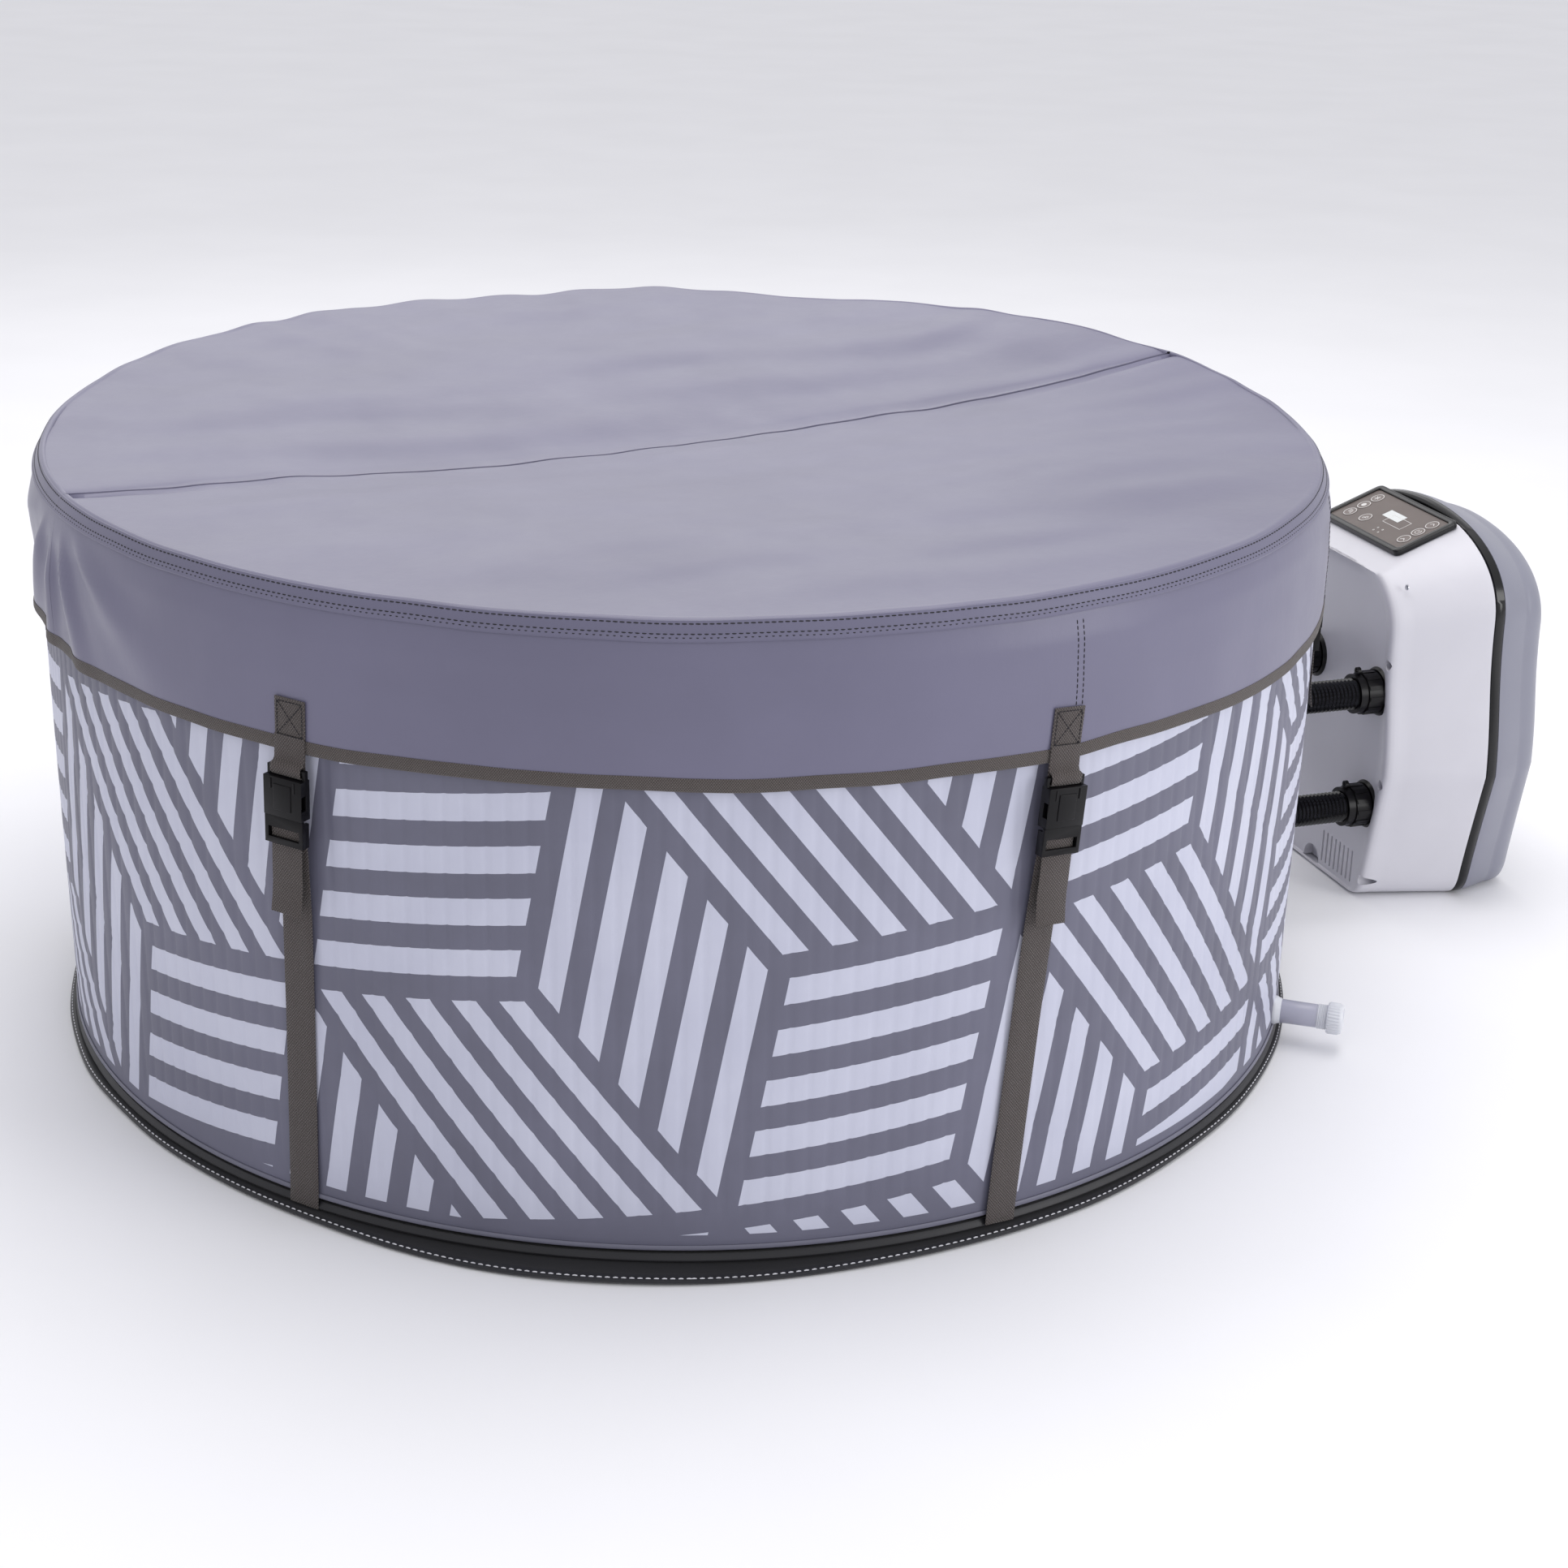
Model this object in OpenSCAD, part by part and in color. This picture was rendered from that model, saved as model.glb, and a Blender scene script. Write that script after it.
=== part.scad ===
// Round inflatable hot tub: a drop-stitch wall on a ground mat, a folding buckled
// cover, and a free-standing pump and heater unit joined to it by three short hoses.
// The origin is the middle of the mat's underside. +Z is up and +X points to the pump's side.

/* [Tub] */
// Outer radius of the inflated wall
wall_r = 822.5; // [780:0.5:860]
// Thickness of the inflated wall
wall_t = 100; // [80:5:120]
// Height of the wall's top above the ground
wall_top = 700; // [650:5:740]
// Height of the wall's bottom edge above the ground
wall_foot = 30; // [24:1:40]
// Radius of the ground mat
mat_r = 834; // [830:1:870]

/* [Cover] */
// Height of the seam between the cover's top and skirt
seam_z = 755; // [752:1:765]
// Radius of that seam
seam_r = 814; // [810:1:818]
// Height of the skirt's lower edge
hem_z = 575; // [560:1:600]
// Angle of the fold line, from +X towards +Y
fold_angle = 27.8; // [20:0.1:40]
// Distance of the fold line behind the centre
fold_offset = 20; // [0:1:60]

/* [Straps] */
// Angles of the straps, from -Y towards +X
strap_az = [-31, 28.3, 88, 148, -152, -92];
// Lean of each strap away from upright
strap_lean = [-2, -4.5, 0, 0, 0, 0];
// Width of the webbing
web_w = 40; // [38:1:40]
// Thickness of the webbing
web_t = 1.6; // [1.2:0.1:1.6]

/* [Pump unit] */
// Angle of the pump unit round the tub, from +X towards +Y
pump_angle = 16; // [10:1:30]
// Distance of the pump unit's front face from the tub's centre
pump_gap_r = 1022; // [1015:1:1100]
// Sideways shift of the unit's middle from the line through the tub's centre
pump_shift = 60; // [50:1:62]
// Depth of the front shell
front_depth = 143; // [140:1:150]
// Depth of the whole unit
unit_depth = 248; // [244:1:256]
// Sideways distance of the hoses from the line through the tub's centre
socket_y = 91; // [89:1:95]
// Height of the upper pair of sockets
socket_z_high = 323; // [320:1:326]
// Height of the lower socket
socket_z_low = 147; // [145:1:150]

/* [Hidden] */
$fn = 96;
gap = 0.5;                      // clearance between neighbouring pieces
cut = 1;                        // overrun of a cutting shape
mat_t = 5;
wall_in = wall_r - wall_t;
big = 2000;                     // larger than the whole object

// Colours
c_pvc = "slategray";
c_web = "dimgray";
c_black = "#1a1a1c";
c_white = "gainsboro";
c_grey = "darkgray";

// Strap and buckle sections, as distance from the tub's centre and height
skirt_t = 2.5;
skirt_r = 828.5;                // inside of the skirt beside the wall
tab_r = skirt_r + skirt_t + 2;
plug_base_z = 468;
buckle_joint_z = 500;           // where the plug's frame meets the socket
socket_top_z = 559;
tongue_len = 28;
buckle_w = 50;
bar_r = tab_r + 4;

// Hose sizes
hose_r = 23;
hose_bore = 17;
hose_pitch = 6;
nut_r = 32;
nut_len = 36;
nut_gap = 6.5;                  // from the pump's face to the nut
nose_r = 25;                    // threaded nose that the nut turns on
nose_len = 22;
flange_r = 36;
spigot_r = 16;                  // the hose's end slides over it
bore_r = 13;                    // water way
sleeve_r = 24;

// Ports: height of each hose line, and its distance from the line through the tub's centre
ports = [[-socket_y, socket_z_low], [-socket_y, socket_z_high], [socket_y, socket_z_high]];

// Control panel plane, in the pump unit's frame
panel_w = 214;
panel_d = 106;
panel_front = [34, 515];        // depth and height of the panel's front edge
panel_slope = 21;
button_r = 11;
button_travel = 0.6;
button_at = [[0.10, 0.22], [0.10, 0.53], [0.10, 0.84], [0.31, 0.26], [0.92, 0.22], [0.92, 0.53], [0.92, 0.84]];

// ---------- helpers ----------
module ring(r_out, r_in, h) {
    difference() {
        cylinder(r = r_out, h = h, $fn = 180);
        translate([0, 0, -cut]) cylinder(r = r_in, h = h + 2 * cut, $fn = 180);
    }
}

module tube(r_out, r_in, h) {
    difference() {
        cylinder(r = r_out, h = h);
        translate([0, 0, -cut]) cylinder(r = r_in, h = h + 2 * cut);
    }
}

// Children's +X points away from the tub's centre, at an angle from -Y towards +X
module round_tub(az) rotate([0, 0, az - 90]) children();

// Children stand in the pump unit's frame: +X away from the tub, origin under the front face
module in_pump() rotate([0, 0, pump_angle]) translate([pump_gap_r, pump_shift, 0]) children();

// Children's +Z runs along a hose line, away from the tub's centre
module along_port(port) in_pump() translate([0, port_y(port), port[1]]) rotate([0, 90, 0]) children();

// A port's sideways place in the pump unit's frame
function port_y(port) = port[0] - pump_shift;

// Keeps the children on one side of the fold line: side -1 is the front, 1 is the rear
module fold_side(side, clearance = 1) {
    intersection() {
        children();
        rotate([0, 0, fold_angle])
            translate([-big / 2, side > 0 ? fold_offset + clearance : fold_offset - clearance - big, 0])
                cube([big, big, big]);
    }
}

function wall_at(port, r) = sqrt(r * r - port[0] * port[0]) - pump_gap_r;

// A webbing or buckle section, drawn as distance and height, spread over a width
module strap_place(i) {
    round_tub(strap_az[i])
        translate([0, 0, socket_top_z]) rotate([strap_lean[i], 0, 0]) translate([0, 0, -socket_top_z])
            children();
}

module across(w) rotate([90, 0, 0]) linear_extrude(height = w, center = true) children();

// ---------- tub ----------
module ground_mat() color(c_black) {
    rotate_extrude($fn = 180)
        polygon([[0, 0], [mat_r - 2, 0], [mat_r, 2], [mat_r, 4.5], [mat_r - 2, 6.5],
            [mat_r - 6, 6.5], [mat_r - 7, mat_t], [0, mat_t]]);
}

module base_skirt() color(c_black) {
    skirt_h = wall_foot - mat_t - 2 * gap;
    difference() {
        translate([0, 0, mat_t + gap]) ring(wall_r + 1, wall_in + 10, skirt_h);
        drain_place() translate([0, 0, -6 - gap]) cylinder(r = drain_collar_r + gap, h = 40);
        drain_place() translate([0, 0, -wall_t - 20]) cylinder(r = drain_r + gap, h = wall_t + 40);
    }
}

module tub_floor() color(c_pvc)
    translate([0, 0, mat_t + gap]) cylinder(r = wall_in + 10 - gap, h = 8, $fn = 180);

module tub_wall() color(c_pvc) {
    edge = 8;
    difference() {
        rotate_extrude($fn = 180)
            polygon([[wall_in + edge, wall_foot], [wall_r - edge, wall_foot],
                [wall_r - 2, wall_foot + 2], [wall_r, wall_foot + edge],
                [wall_r, wall_top - edge], [wall_r - 2, wall_top - 2], [wall_r - edge, wall_top],
                [wall_in + edge, wall_top], [wall_in + 2, wall_top - 2], [wall_in, wall_top - edge],
                [wall_in, wall_foot + edge], [wall_in + 2, wall_foot + 2]]);
        for (port = ports) along_port(port) {
            translate([0, 0, wall_at(port, wall_in) - 40]) cylinder(r = sleeve_r + gap, h = wall_t + 100);
            translate([0, 0, wall_at(port, wall_r) - 12]) cylinder(r = flange_r + gap, h = 60);
            translate([0, 0, wall_at(port, wall_in) - 60]) cylinder(r = flange_r + gap, h = 68);
        }
        drain_place() {
            translate([0, 0, -wall_t - 20]) cylinder(r = drain_r + gap, h = wall_t + 40);
            translate([0, 0, -6]) cylinder(r = drain_collar_r + gap, h = 40);
        }
        valve_place() translate([0, 0, -40]) cylinder(r = valve_r + gap, h = 60);
    }
}

bubble_h = 50;                  // height and width of the air channel
bubble_w = 46;
bubble_z = mat_t + gap + 8 + gap;
module bubble_ring() color(c_grey) {
    skin = 3;
    jets = 36;
    rin = wall_in - bubble_w - gap;
    translate([0, 0, bubble_z]) difference() {
        rotate_extrude($fn = 180) difference() {
            polygon([[rin, 0], [rin + bubble_w, 0], [rin + bubble_w, bubble_h], [rin + bubble_w * 0.45, bubble_h],
                [rin + bubble_w * 0.12, bubble_h * 0.8], [rin, bubble_h * 0.5]]);
            translate([rin + skin, skin]) square([bubble_w - 2 * skin, bubble_h * 0.45]);
        }
        for (i = [0:jets - 1]) rotate([0, 0, i * 360 / jets])
            translate([rin + bubble_w * 0.6, 0, bubble_h * 0.3]) cylinder(r = 1.5, h = bubble_h, $fn = 24);
        rotate([0, 0, pump_angle])
            translate([pump_gap_r + wall_at(ports[2], wall_in) - 26, socket_y, bubble_h * 0.3])
                cylinder(r = 6, h = bubble_h);
    }
}

// ---------- hose line ----------
// Sleeve through the wall, with a flange in a shallow pocket on each face
module wall_fitting(port) {
    outer = wall_at(port, wall_r);
    inner = wall_at(port, wall_in);
    difference() {
        along_port(port) {
            translate([0, 0, inner - 30]) cylinder(r = sleeve_r, h = outer - inner + 41);
            translate([0, 0, outer - 11]) cylinder(r = flange_r, h = 21);
            translate([0, 0, outer + 10]) cylinder(r = spigot_r, h = 42);
            translate([0, 0, inner - 14]) cylinder(r = flange_r - 2, h = 20);
        }
        along_port(port) translate([0, 0, inner - 40]) cylinder(r = bore_r, h = 300);
    }
}
module wall_fittings() color(c_black) for (port = ports) wall_fitting(port);

hose_start = 32;                // free end of the hose, from the pump's face
function hose_end(port) = wall_at(port, wall_r) + 12;

// Corrugated hose: ribs are a cosine of the length
module hose(port) {
    length = -hose_start - hose_end(port);
    steps = floor(length / hose_pitch) * 4;
    along_port(port) translate([0, 0, hose_end(port)])
        rotate_extrude($fn = 48)
            polygon(concat([[hose_bore, 0]],
                [for (i = [0:steps]) [hose_r - 1.6 + 1.6 * cos(i * 90), i * length / steps]],
                [[hose_bore, length]]));
}
module hoses() color(c_black) for (port = ports) hose(port);

module hose_clamps() color("silver")
    for (port = ports) along_port(port) translate([0, 0, hose_end(port) + 14]) {
        tube(hose_r + 2.2, hose_r + 0.2, 12);
        translate([-hose_r - 9, -6, 0]) cube([7.4, 12, 12]);
    }

module hose_seals() color("black")
    for (port = ports) along_port(port) translate([0, 0, -nose_len - 2.7]) tube(22, 14.2, 2.4);

// Flanged socket on the pump's face, with a short threaded nose
module pump_sockets() color(c_black)
    for (port = ports) along_port(port) difference() {
        union() {
            translate([0, 0, -5]) cylinder(r1 = flange_r - 3, r2 = flange_r, h = 5);
            translate([0, 0, -nose_len]) cylinder(r = nose_r, h = nose_len + 21);
            for (i = [0:2]) translate([0, 0, -nose_len + 2 + 4 * i]) cylinder(r = nose_r + 0.7, h = 1.5);
        }
        translate([0, 0, -30]) cylinder(r = bore_r, h = 70);
    }

// Ribbed union nut that turns on the socket, with an eyelet for the cap's tether
module union_nut(port) {
    ribs = 12;
    along_port(port) translate([0, 0, -nut_gap - nut_len]) difference() {
        union() {
            cylinder(r = nut_r - 3, h = nut_len);
            translate([0, 0, 12]) cylinder(r = nut_r - 1, h = nut_len - 12);
            for (i = [0:ribs - 1]) rotate([0, 0, i * 360 / ribs])
                translate([nut_r - 5, -3, 13]) cube([5, 6, nut_len - 15]);
            translate([-nut_r - 2, 0, 4]) cylinder(r = 6, h = 5);
        }
        translate([0, 0, -cut]) cylinder(r = hose_r + gap, h = nut_len + 2 * cut);
        translate([0, 0, nut_len - nose_len + nut_gap - 3]) cylinder(r = nose_r + 1, h = nut_len);
        translate([-nut_r - 3, 0, 0]) cylinder(r = 3, h = 12);
    }
}
module inlet_nut() color(c_black) union_nut(ports[0]);
module outlet_nut() color(c_black) union_nut(ports[1]);
module air_nut() color(c_black) union_nut(ports[2]);

// ---------- inside the tub ----------
module inside_port(port, back) along_port(port) translate([0, 0, wall_at(port, wall_in) - back]) children();

module outlet_nozzle() color(c_white)
    inside_port(ports[1], 36) difference() {
        union() {
            cylinder(r = 30, h = 21);
            translate([0, 0, -10]) cylinder(r1 = 16, r2 = 26, h = 10);
        }
        translate([0, 0, 5]) cylinder(r = sleeve_r + gap, h = 30);
        translate([0, 0, -20]) cylinder(r = 9, h = 60);
    }

// Flat duct down the wall from the air port to the bubble ring
module air_duct() color(c_grey) {
    port = ports[2];
    difference() {
        union() {
            inside_port(port, 36) cylinder(r = 32, h = 21);
            in_pump() translate([wall_at(port, wall_in) - 36, port_y(port) - 16, bubble_z + bubble_h + gap])
                cube([20, 32, port[1] - bubble_z - bubble_h]);
        }
        inside_port(port, 31) cylinder(r = sleeve_r + gap, h = 60);
        in_pump() translate([wall_at(port, wall_in) - 33, port_y(port) - 13, bubble_z])
            cube([14, 26, port[1] - bubble_z - 10]);
    }
}

cart_r = 48;                    // radius of the filter cartridge
module filter_housing() color(c_white)
    inside_port(ports[0], 132) difference() {
        cylinder(r = cart_r + 6, h = 117);
        translate([0, 0, -cut]) cylinder(r = cart_r + 3, h = 111);
        translate([0, 0, 101]) cylinder(r = sleeve_r + gap, h = 60);
        for (i = [0:15]) rotate([0, 0, i * 22.5]) translate([cart_r, -3, 20]) cube([20, 6, 76]);
    }

module filter_cartridge() color("white")
    inside_port(ports[0], 127) difference() {
        pleats = 48;
        union() {
            linear_extrude(height = 94) polygon([for (i = [0:2 * pleats - 1])
                let(r = i % 2 == 0 ? cart_r - 2 : cart_r - 9, a = i * 180 / pleats) [r * cos(a), r * sin(a)]]);
            cylinder(r = cart_r, h = 8);
            translate([0, 0, 86]) cylinder(r = cart_r, h = 8);
        }
        translate([0, 0, -cut]) cylinder(r = 19, h = 110);
    }

module filter_cap() color(c_white)
    inside_port(ports[0], 146) difference() {
        union() {
            cylinder(r = cart_r + 10, h = 13);
            for (i = [0:15]) rotate([0, 0, i * 22.5]) translate([cart_r + 9, -4, 0]) cube([4, 8, 22]);
            ring(cart_r + 10, cart_r + 6 + gap, 24);
        }
        for (i = [0:7]) rotate([0, 0, i * 45]) translate([12, -3, -cut]) cube([28, 6, 20]);
        for (i = [0:7]) rotate([0, 0, i * 45 + 22.5]) translate([26, -3, -cut]) cube([16, 6, 20]);
    }

// ---------- drain and air valve ----------
drain_az = 70.5;
drain_z = 43;
drain_r = 14;
drain_collar_r = 18;            // collar against the wall
module drain_place() round_tub(drain_az) translate([wall_r, 0, drain_z]) rotate([0, 90, 0]) children();

module drain_spout() color(c_white) drain_place() difference() {
    union() {
        translate([0, 0, -wall_t]) cylinder(r = drain_r, h = wall_t + 16);
        translate([0, 0, -4.5]) cylinder(r1 = drain_collar_r, r2 = drain_r + 2, h = 12);
        translate([0, 0, 6]) cylinder(r = drain_r + 1.5, h = 26);
        translate([0, 0, 30]) cylinder(r = drain_r + 2, h = 28);
        translate([0, 0, 57]) cylinder(r = drain_r + 1, h = 24);
        for (z = [62:3:77]) translate([0, 0, z]) cylinder(r = drain_r + 1.8, h = 1.4);
    }
    translate([0, 0, -wall_t - 20]) cylinder(r = drain_r - 3, h = wall_t + 140);
}

module drain_cap() color(c_white) drain_place() translate([0, 0, 70]) difference() {
    union() {
        cylinder(r = 20, h = 17);
        translate([0, 0, 16.9]) cylinder(r1 = 20, r2 = 17, h = 4);
        for (i = [0:23]) rotate([0, 0, i * 15]) translate([19.2, -1.2, 1]) cube([1.8, 2.4, 15]);
    }
    translate([0, 0, -cut]) cylinder(r = drain_r + 1.8 + gap, h = 15);
}

valve_az = 168;
valve_z = 500;
valve_r = 27;
module valve_place() round_tub(valve_az) translate([wall_r, 0, valve_z]) rotate([0, 90, 0]) children();

module wall_valve() color(c_black) valve_place() difference() {
    union() {
        translate([0, 0, -30]) cylinder(r = valve_r, h = 31);
        translate([0, 0, 0]) cylinder(r = valve_r - 4, h = 6);
    }
    translate([0, 0, -40]) cylinder(r = 10, h = 60);
}
module wall_valve_cap() color(c_black) valve_place() translate([0, 0, 1.4]) difference() {
    union() {
        cylinder(r = valve_r, h = 10);
        translate([-3, -16, 9]) cube([6, 32, 6]);
    }
    translate([0, 0, -cut]) cylinder(r = valve_r - 4 + gap, h = 6.6);
}

// ---------- cover ----------
top_t = 3;
top_z = seam_z - 10;
module cover_top(side) color(c_pvc)
    fold_side(side) translate([0, 0, top_z]) cylinder(r = seam_r - 2, h = top_t, $fn = 180);

module cover_skirt(side) color(c_pvc)
    fold_side(side) rotate_extrude($fn = 180) polygon([
        [seam_r - 3, seam_z - 1], [seam_r, seam_z], [824, 735], [skirt_r + skirt_t - 1, 704],
        [skirt_r + skirt_t, 650], [skirt_r + skirt_t, hem_z + 12], [skirt_r, hem_z + 12], [skirt_r, 650],
        [skirt_r - 1, 704], [821, 734], [seam_r - 3, seam_z - 4]]);

module hem(side) color(c_web)
    fold_side(side) translate([0, 0, hem_z]) ring(skirt_r + skirt_t + 0.5, skirt_r, 11.5);

module pad(side) color("white")
    fold_side(side, 3) translate([0, 0, wall_top + 1]) cylinder(r = seam_r - 14, h = top_z - wall_top - 1.5, $fn = 180);

module cover_top_front() cover_top(-1);
module cover_top_rear() cover_top(1);
module cover_skirt_front() cover_skirt(-1);
module cover_skirt_rear() cover_skirt(1);
module hem_front() hem(-1);
module hem_rear() hem(1);
module pad_front() pad(-1);
module pad_rear() pad(1);

// ---------- straps and buckles ----------
loop_top = buckle_joint_z - 8;
loop_bottom_z = 395;            // end of the hanging tail
leg_r = tab_r + 2.4;            // back leg of the webbing behind the buckle's frame
tongue_r = leg_r + 8.9;         // inner face of the forked tongue, clear of the webbing's front leg

// Lower webbing: up the wall, over the plug's bar and down again as a loose tail
module lower_strap(i) strap_place(i) across(web_w) union() {
    polygon([[wall_r + 3.5, 14], [wall_r + 3.5 + web_t, 14], [leg_r, loop_top - 30], [leg_r, loop_top],
        [leg_r - web_t, loop_top], [leg_r - web_t, loop_top - 30]]);
    translate([leg_r - web_t, loop_top - web_t]) square([8.6 + web_t, web_t]);
    translate([leg_r + 7, loop_bottom_z]) square([web_t, loop_top - loop_bottom_z]);
}
module lower_straps() color(c_web) for (i = [0:5]) lower_strap(i);

// Sewn tab on the skirt that loops round the socket's bar
module cover_tab(i) strap_place(i) across(web_w) union() {
    translate([tab_r - 1.2, 556]) square([1.2, 76]);
    translate([tab_r - 1.2, 557.2]) square([5.6, web_t]);
    difference() {
        translate([bar_r - 2.2, 547.4]) square([9.6, 11.4]);
        translate([bar_r - 0.6, 549]) square([6.4, 8.2]);
    }
}
module cover_tabs_front() color(c_web) for (i = [0:2]) cover_tab(i);
module cover_tabs_rear() color(c_web) for (i = [3:5]) cover_tab(i);

// Female half: a flat box open below, with side windows and a bar for the tab
module buckle_socket(i) strap_place(i) difference() {
    union() {
        translate([tab_r + 1.6, -buckle_w / 2, buckle_joint_z + gap]) cube([15, buckle_w, 45.5]);
        translate([bar_r, -buckle_w / 2, 550]) cube([5.2, buckle_w, 6.4]);
        for (s = [-1, 1]) translate([bar_r, s * (buckle_w / 2 - 2) - 2, buckle_joint_z + 40])
            cube([5.2, 4, 56.4 - 40]);
    }
    translate([tab_r + 9.4, -21.5, buckle_joint_z - cut]) cube([5.2, 43, 38]);
    for (s = [-1, 1]) translate([tab_r + 8, s * 24 - 5, buckle_joint_z + 12]) cube([8, 10, 17]);
}
module buckle_sockets_front() color(c_black) for (i = [0:2]) buckle_socket(i);
module buckle_sockets_rear() color(c_black) for (i = [3:5]) buckle_socket(i);

// Male half: a frame with the webbing bar, and a forked tongue that enters the socket
module buckle_plug(i) color(c_black) strap_place(i) {
    face = tab_r + 11.6;
    difference() {
        union() {
            translate([face, -buckle_w / 2, plug_base_z]) cube([4, buckle_w, buckle_joint_z - plug_base_z]);
            translate([leg_r + 1.4, -buckle_w / 2, plug_base_z])
                cube([face + 4 - leg_r - 1.4, 4, buckle_joint_z - plug_base_z - 4]);
            translate([leg_r + 1.4, buckle_w / 2 - 4, plug_base_z])
                cube([face + 4 - leg_r - 1.4, 4, buckle_joint_z - plug_base_z - 4]);
            translate([leg_r + 1.4, -buckle_w / 2, loop_top - 8]) cube([4, buckle_w, 4.4]);
            translate([tongue_r, -5, buckle_joint_z - 4]) cube([2.3, 10, 30]);
            for (s = [-1, 1]) translate([tongue_r, s * 17.5 - 3.5, buckle_joint_z - 4])
                cube([2.3, 7, 4 + tongue_len]);
            translate([tongue_r, -22, buckle_joint_z - 6]) cube([2.7, 44, 5.5]);
        }
        translate([face - cut, -20.5, plug_base_z + 7]) cube([8, 41, 12]);
    }
}
module buckle_plug_1() buckle_plug(0);
module buckle_plug_2() buckle_plug(1);
module buckle_plug_3() buckle_plug(2);
module buckle_plug_4() buckle_plug(3);
module buckle_plug_5() buckle_plug(4);
module buckle_plug_6() buckle_plug(5);

// ---------- pump unit ----------
// Points on a cubic curve
function bez(a, b, c, d, n) = [for (i = [0:n - 1]) let(t = i / n, u = 1 - t)
    u * u * u * a + 3 * u * u * t * b + 3 * u * t * t * c + t * t * t * d];

// Right half of the unit's outline at its seam, from the middle of its base up to the crown
crease = [245, 208];
half_outline = concat(
    bez([168, 0], [190, 0], [204, 10], [209, 38], 4),
    bez([209, 38], [218, 90], [232, 150], crease, 3),
    bez(crease, [240, 300], [222, 330], [219, 440], 8),
    bez([219, 440], [215, 520], [120, 560], [0, 562], 9));
outline = concat(half_outline, [[0, 562]],
    [for (i = [len(half_outline) - 1:-1:0]) [-half_outline[i][0], half_outline[i][1]]]);
mid_z = 260;

// The outline drawn in by a distance, less at the base than at the sides and top
function inset(t) = [for (p = outline) [p[0] * (1 - t / crease[0]),
    mid_z + (p[1] - mid_z) * (1 - (p[1] > mid_z ? t / 300 : 0.08 * t / mid_z))]];

// Solid through equal-length rings of points, each ring at its own depth
module loft(depths, insets) {
    n = len(outline);
    rings = len(depths);
    pts = [for (k = [0:rings - 1]) let(o = inset(insets[k])) for (p = o) [depths[k], p[0], p[1]]];
    sides = [for (k = [0:rings - 2]) for (j = [0:n - 1])
        let(a = k * n + j, b = k * n + (j + 1) % n) [a, a + n, b + n, b]];
    polyhedron(pts, concat(sides, [[for (j = [0:n - 1]) j]],
        [[for (j = [n - 1:-1:0]) (rings - 1) * n + j]]), convexity = 4);
}

shell_t = 3.5;
arc_n = 4;
function quarter(r, n = arc_n) = [for (i = [0:n]) r * (1 - sin(i * 90 / n))];
function quarter_x(r, n = arc_n) = [for (i = [0:n]) r * (1 - cos(i * 90 / n))];

front_taper = 34;               // how far the sides draw in from the seam to the front's shoulder
rear_taper = 20;                // the same for the rear shell
front_round = 20;               // rounding of the front's shoulder
rear_round = 44;                // rounding of the rear edge
module front_form(t) {
    r = front_round - t;
    loft(concat([for (x = quarter_x(r)) x + t], [front_depth]),
        concat([for (q = quarter(r)) q + t + front_taper], [t]));
}
module rear_form(t) {
    r = rear_round - t;
    xs = quarter_x(r);
    qs = quarter(r);
    loft(concat([front_depth + 8], [for (i = [arc_n:-1:0]) unit_depth - t - xs[i]]),
        concat([t], [for (i = [arc_n:-1:0]) qs[i] + t + rear_taper]));
}

// Raised wedge under the control panel
module panel_wedge() {
    rise = panel_d * sin(panel_slope) + 4;
    low = 470;                  // height of its underside, inside the shell
    front = panel_front[0] - 2;
    rear = panel_front[0] + panel_d * cos(panel_slope) + 6;
    rotate([90, 0, 0])
        linear_extrude(height = panel_w + 10, center = true)
            polygon([[front, low], [front, panel_front[1] - 8], [rear, panel_front[1] - 8 + rise], [rear, low]]);
}

screw_at = [for (side = [-1, 1]) for (p = [[168, 484], [178, 372], [192, 192], [170, 32]]) [side * p[0], p[1]]];
screw_x = 7;                    // depth of the screw heads
vent_n = 8;

// Everything under the panel's seat, drawn in by a distance
module under_panel(t) {
    seat_x = panel_front[0] + panel_d * cos(panel_slope) + 8 - t;
    function seat_z(x) = panel_front[1] + (x - panel_front[0]) * tan(panel_slope) - (6.2 + t) / cos(panel_slope);
    rotate([90, 0, 0]) linear_extrude(height = 600, center = true)
        polygon([[-50, -50], [-50, seat_z(-50)], [seat_x, seat_z(seat_x)],
            [seat_x, 600], [400, 600], [400, -50]]);
}

module front_shell() color(c_white) in_pump() difference() {
    union() {
        intersection() {
            union() {
                difference() {
                    front_form(0);
                    intersection() {
                        front_form(shell_t);
                        under_panel(shell_t);
                    }
                }
                intersection() {
                    panel_wedge();
                    translate([0, -big / 2, 0]) cube([front_depth - 1, big, big]);
                }
            }
            under_panel(0);
        }
        intersection() {
            front_form(0);
            for (s = screw_at) translate([0, s[0], s[1]]) rotate([0, 90, 0]) cylinder(r = 6.5, h = screw_x + 18);
        }
    }
    translate([panel_front[0] + 12, -95, 440]) cube([80, 190, 72]);
    for (port = ports) translate([-10, port_y(port), port[1]]) rotate([0, 90, 0]) cylinder(r = nose_r + gap, h = 60);
    for (s = screw_at) translate([-1, s[0], s[1]]) rotate([0, 90, 0]) {
        cylinder(r = 3.2, h = screw_x + 3.6);
        cylinder(r = 1.7, h = screw_x + 16);
    }
    for (i = [0:vent_n - 1]) translate([-1, -134 + i * 12, 14]) cube([14, 4, 48]);
}

module rear_shell() color(c_grey) in_pump() difference() {
    rear_form(0);
    rear_form(shell_t);
    translate([unit_depth - 12, 60, 60]) rotate([0, 90, 0]) cylinder(r = 8 + gap, h = 20);
}

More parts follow.
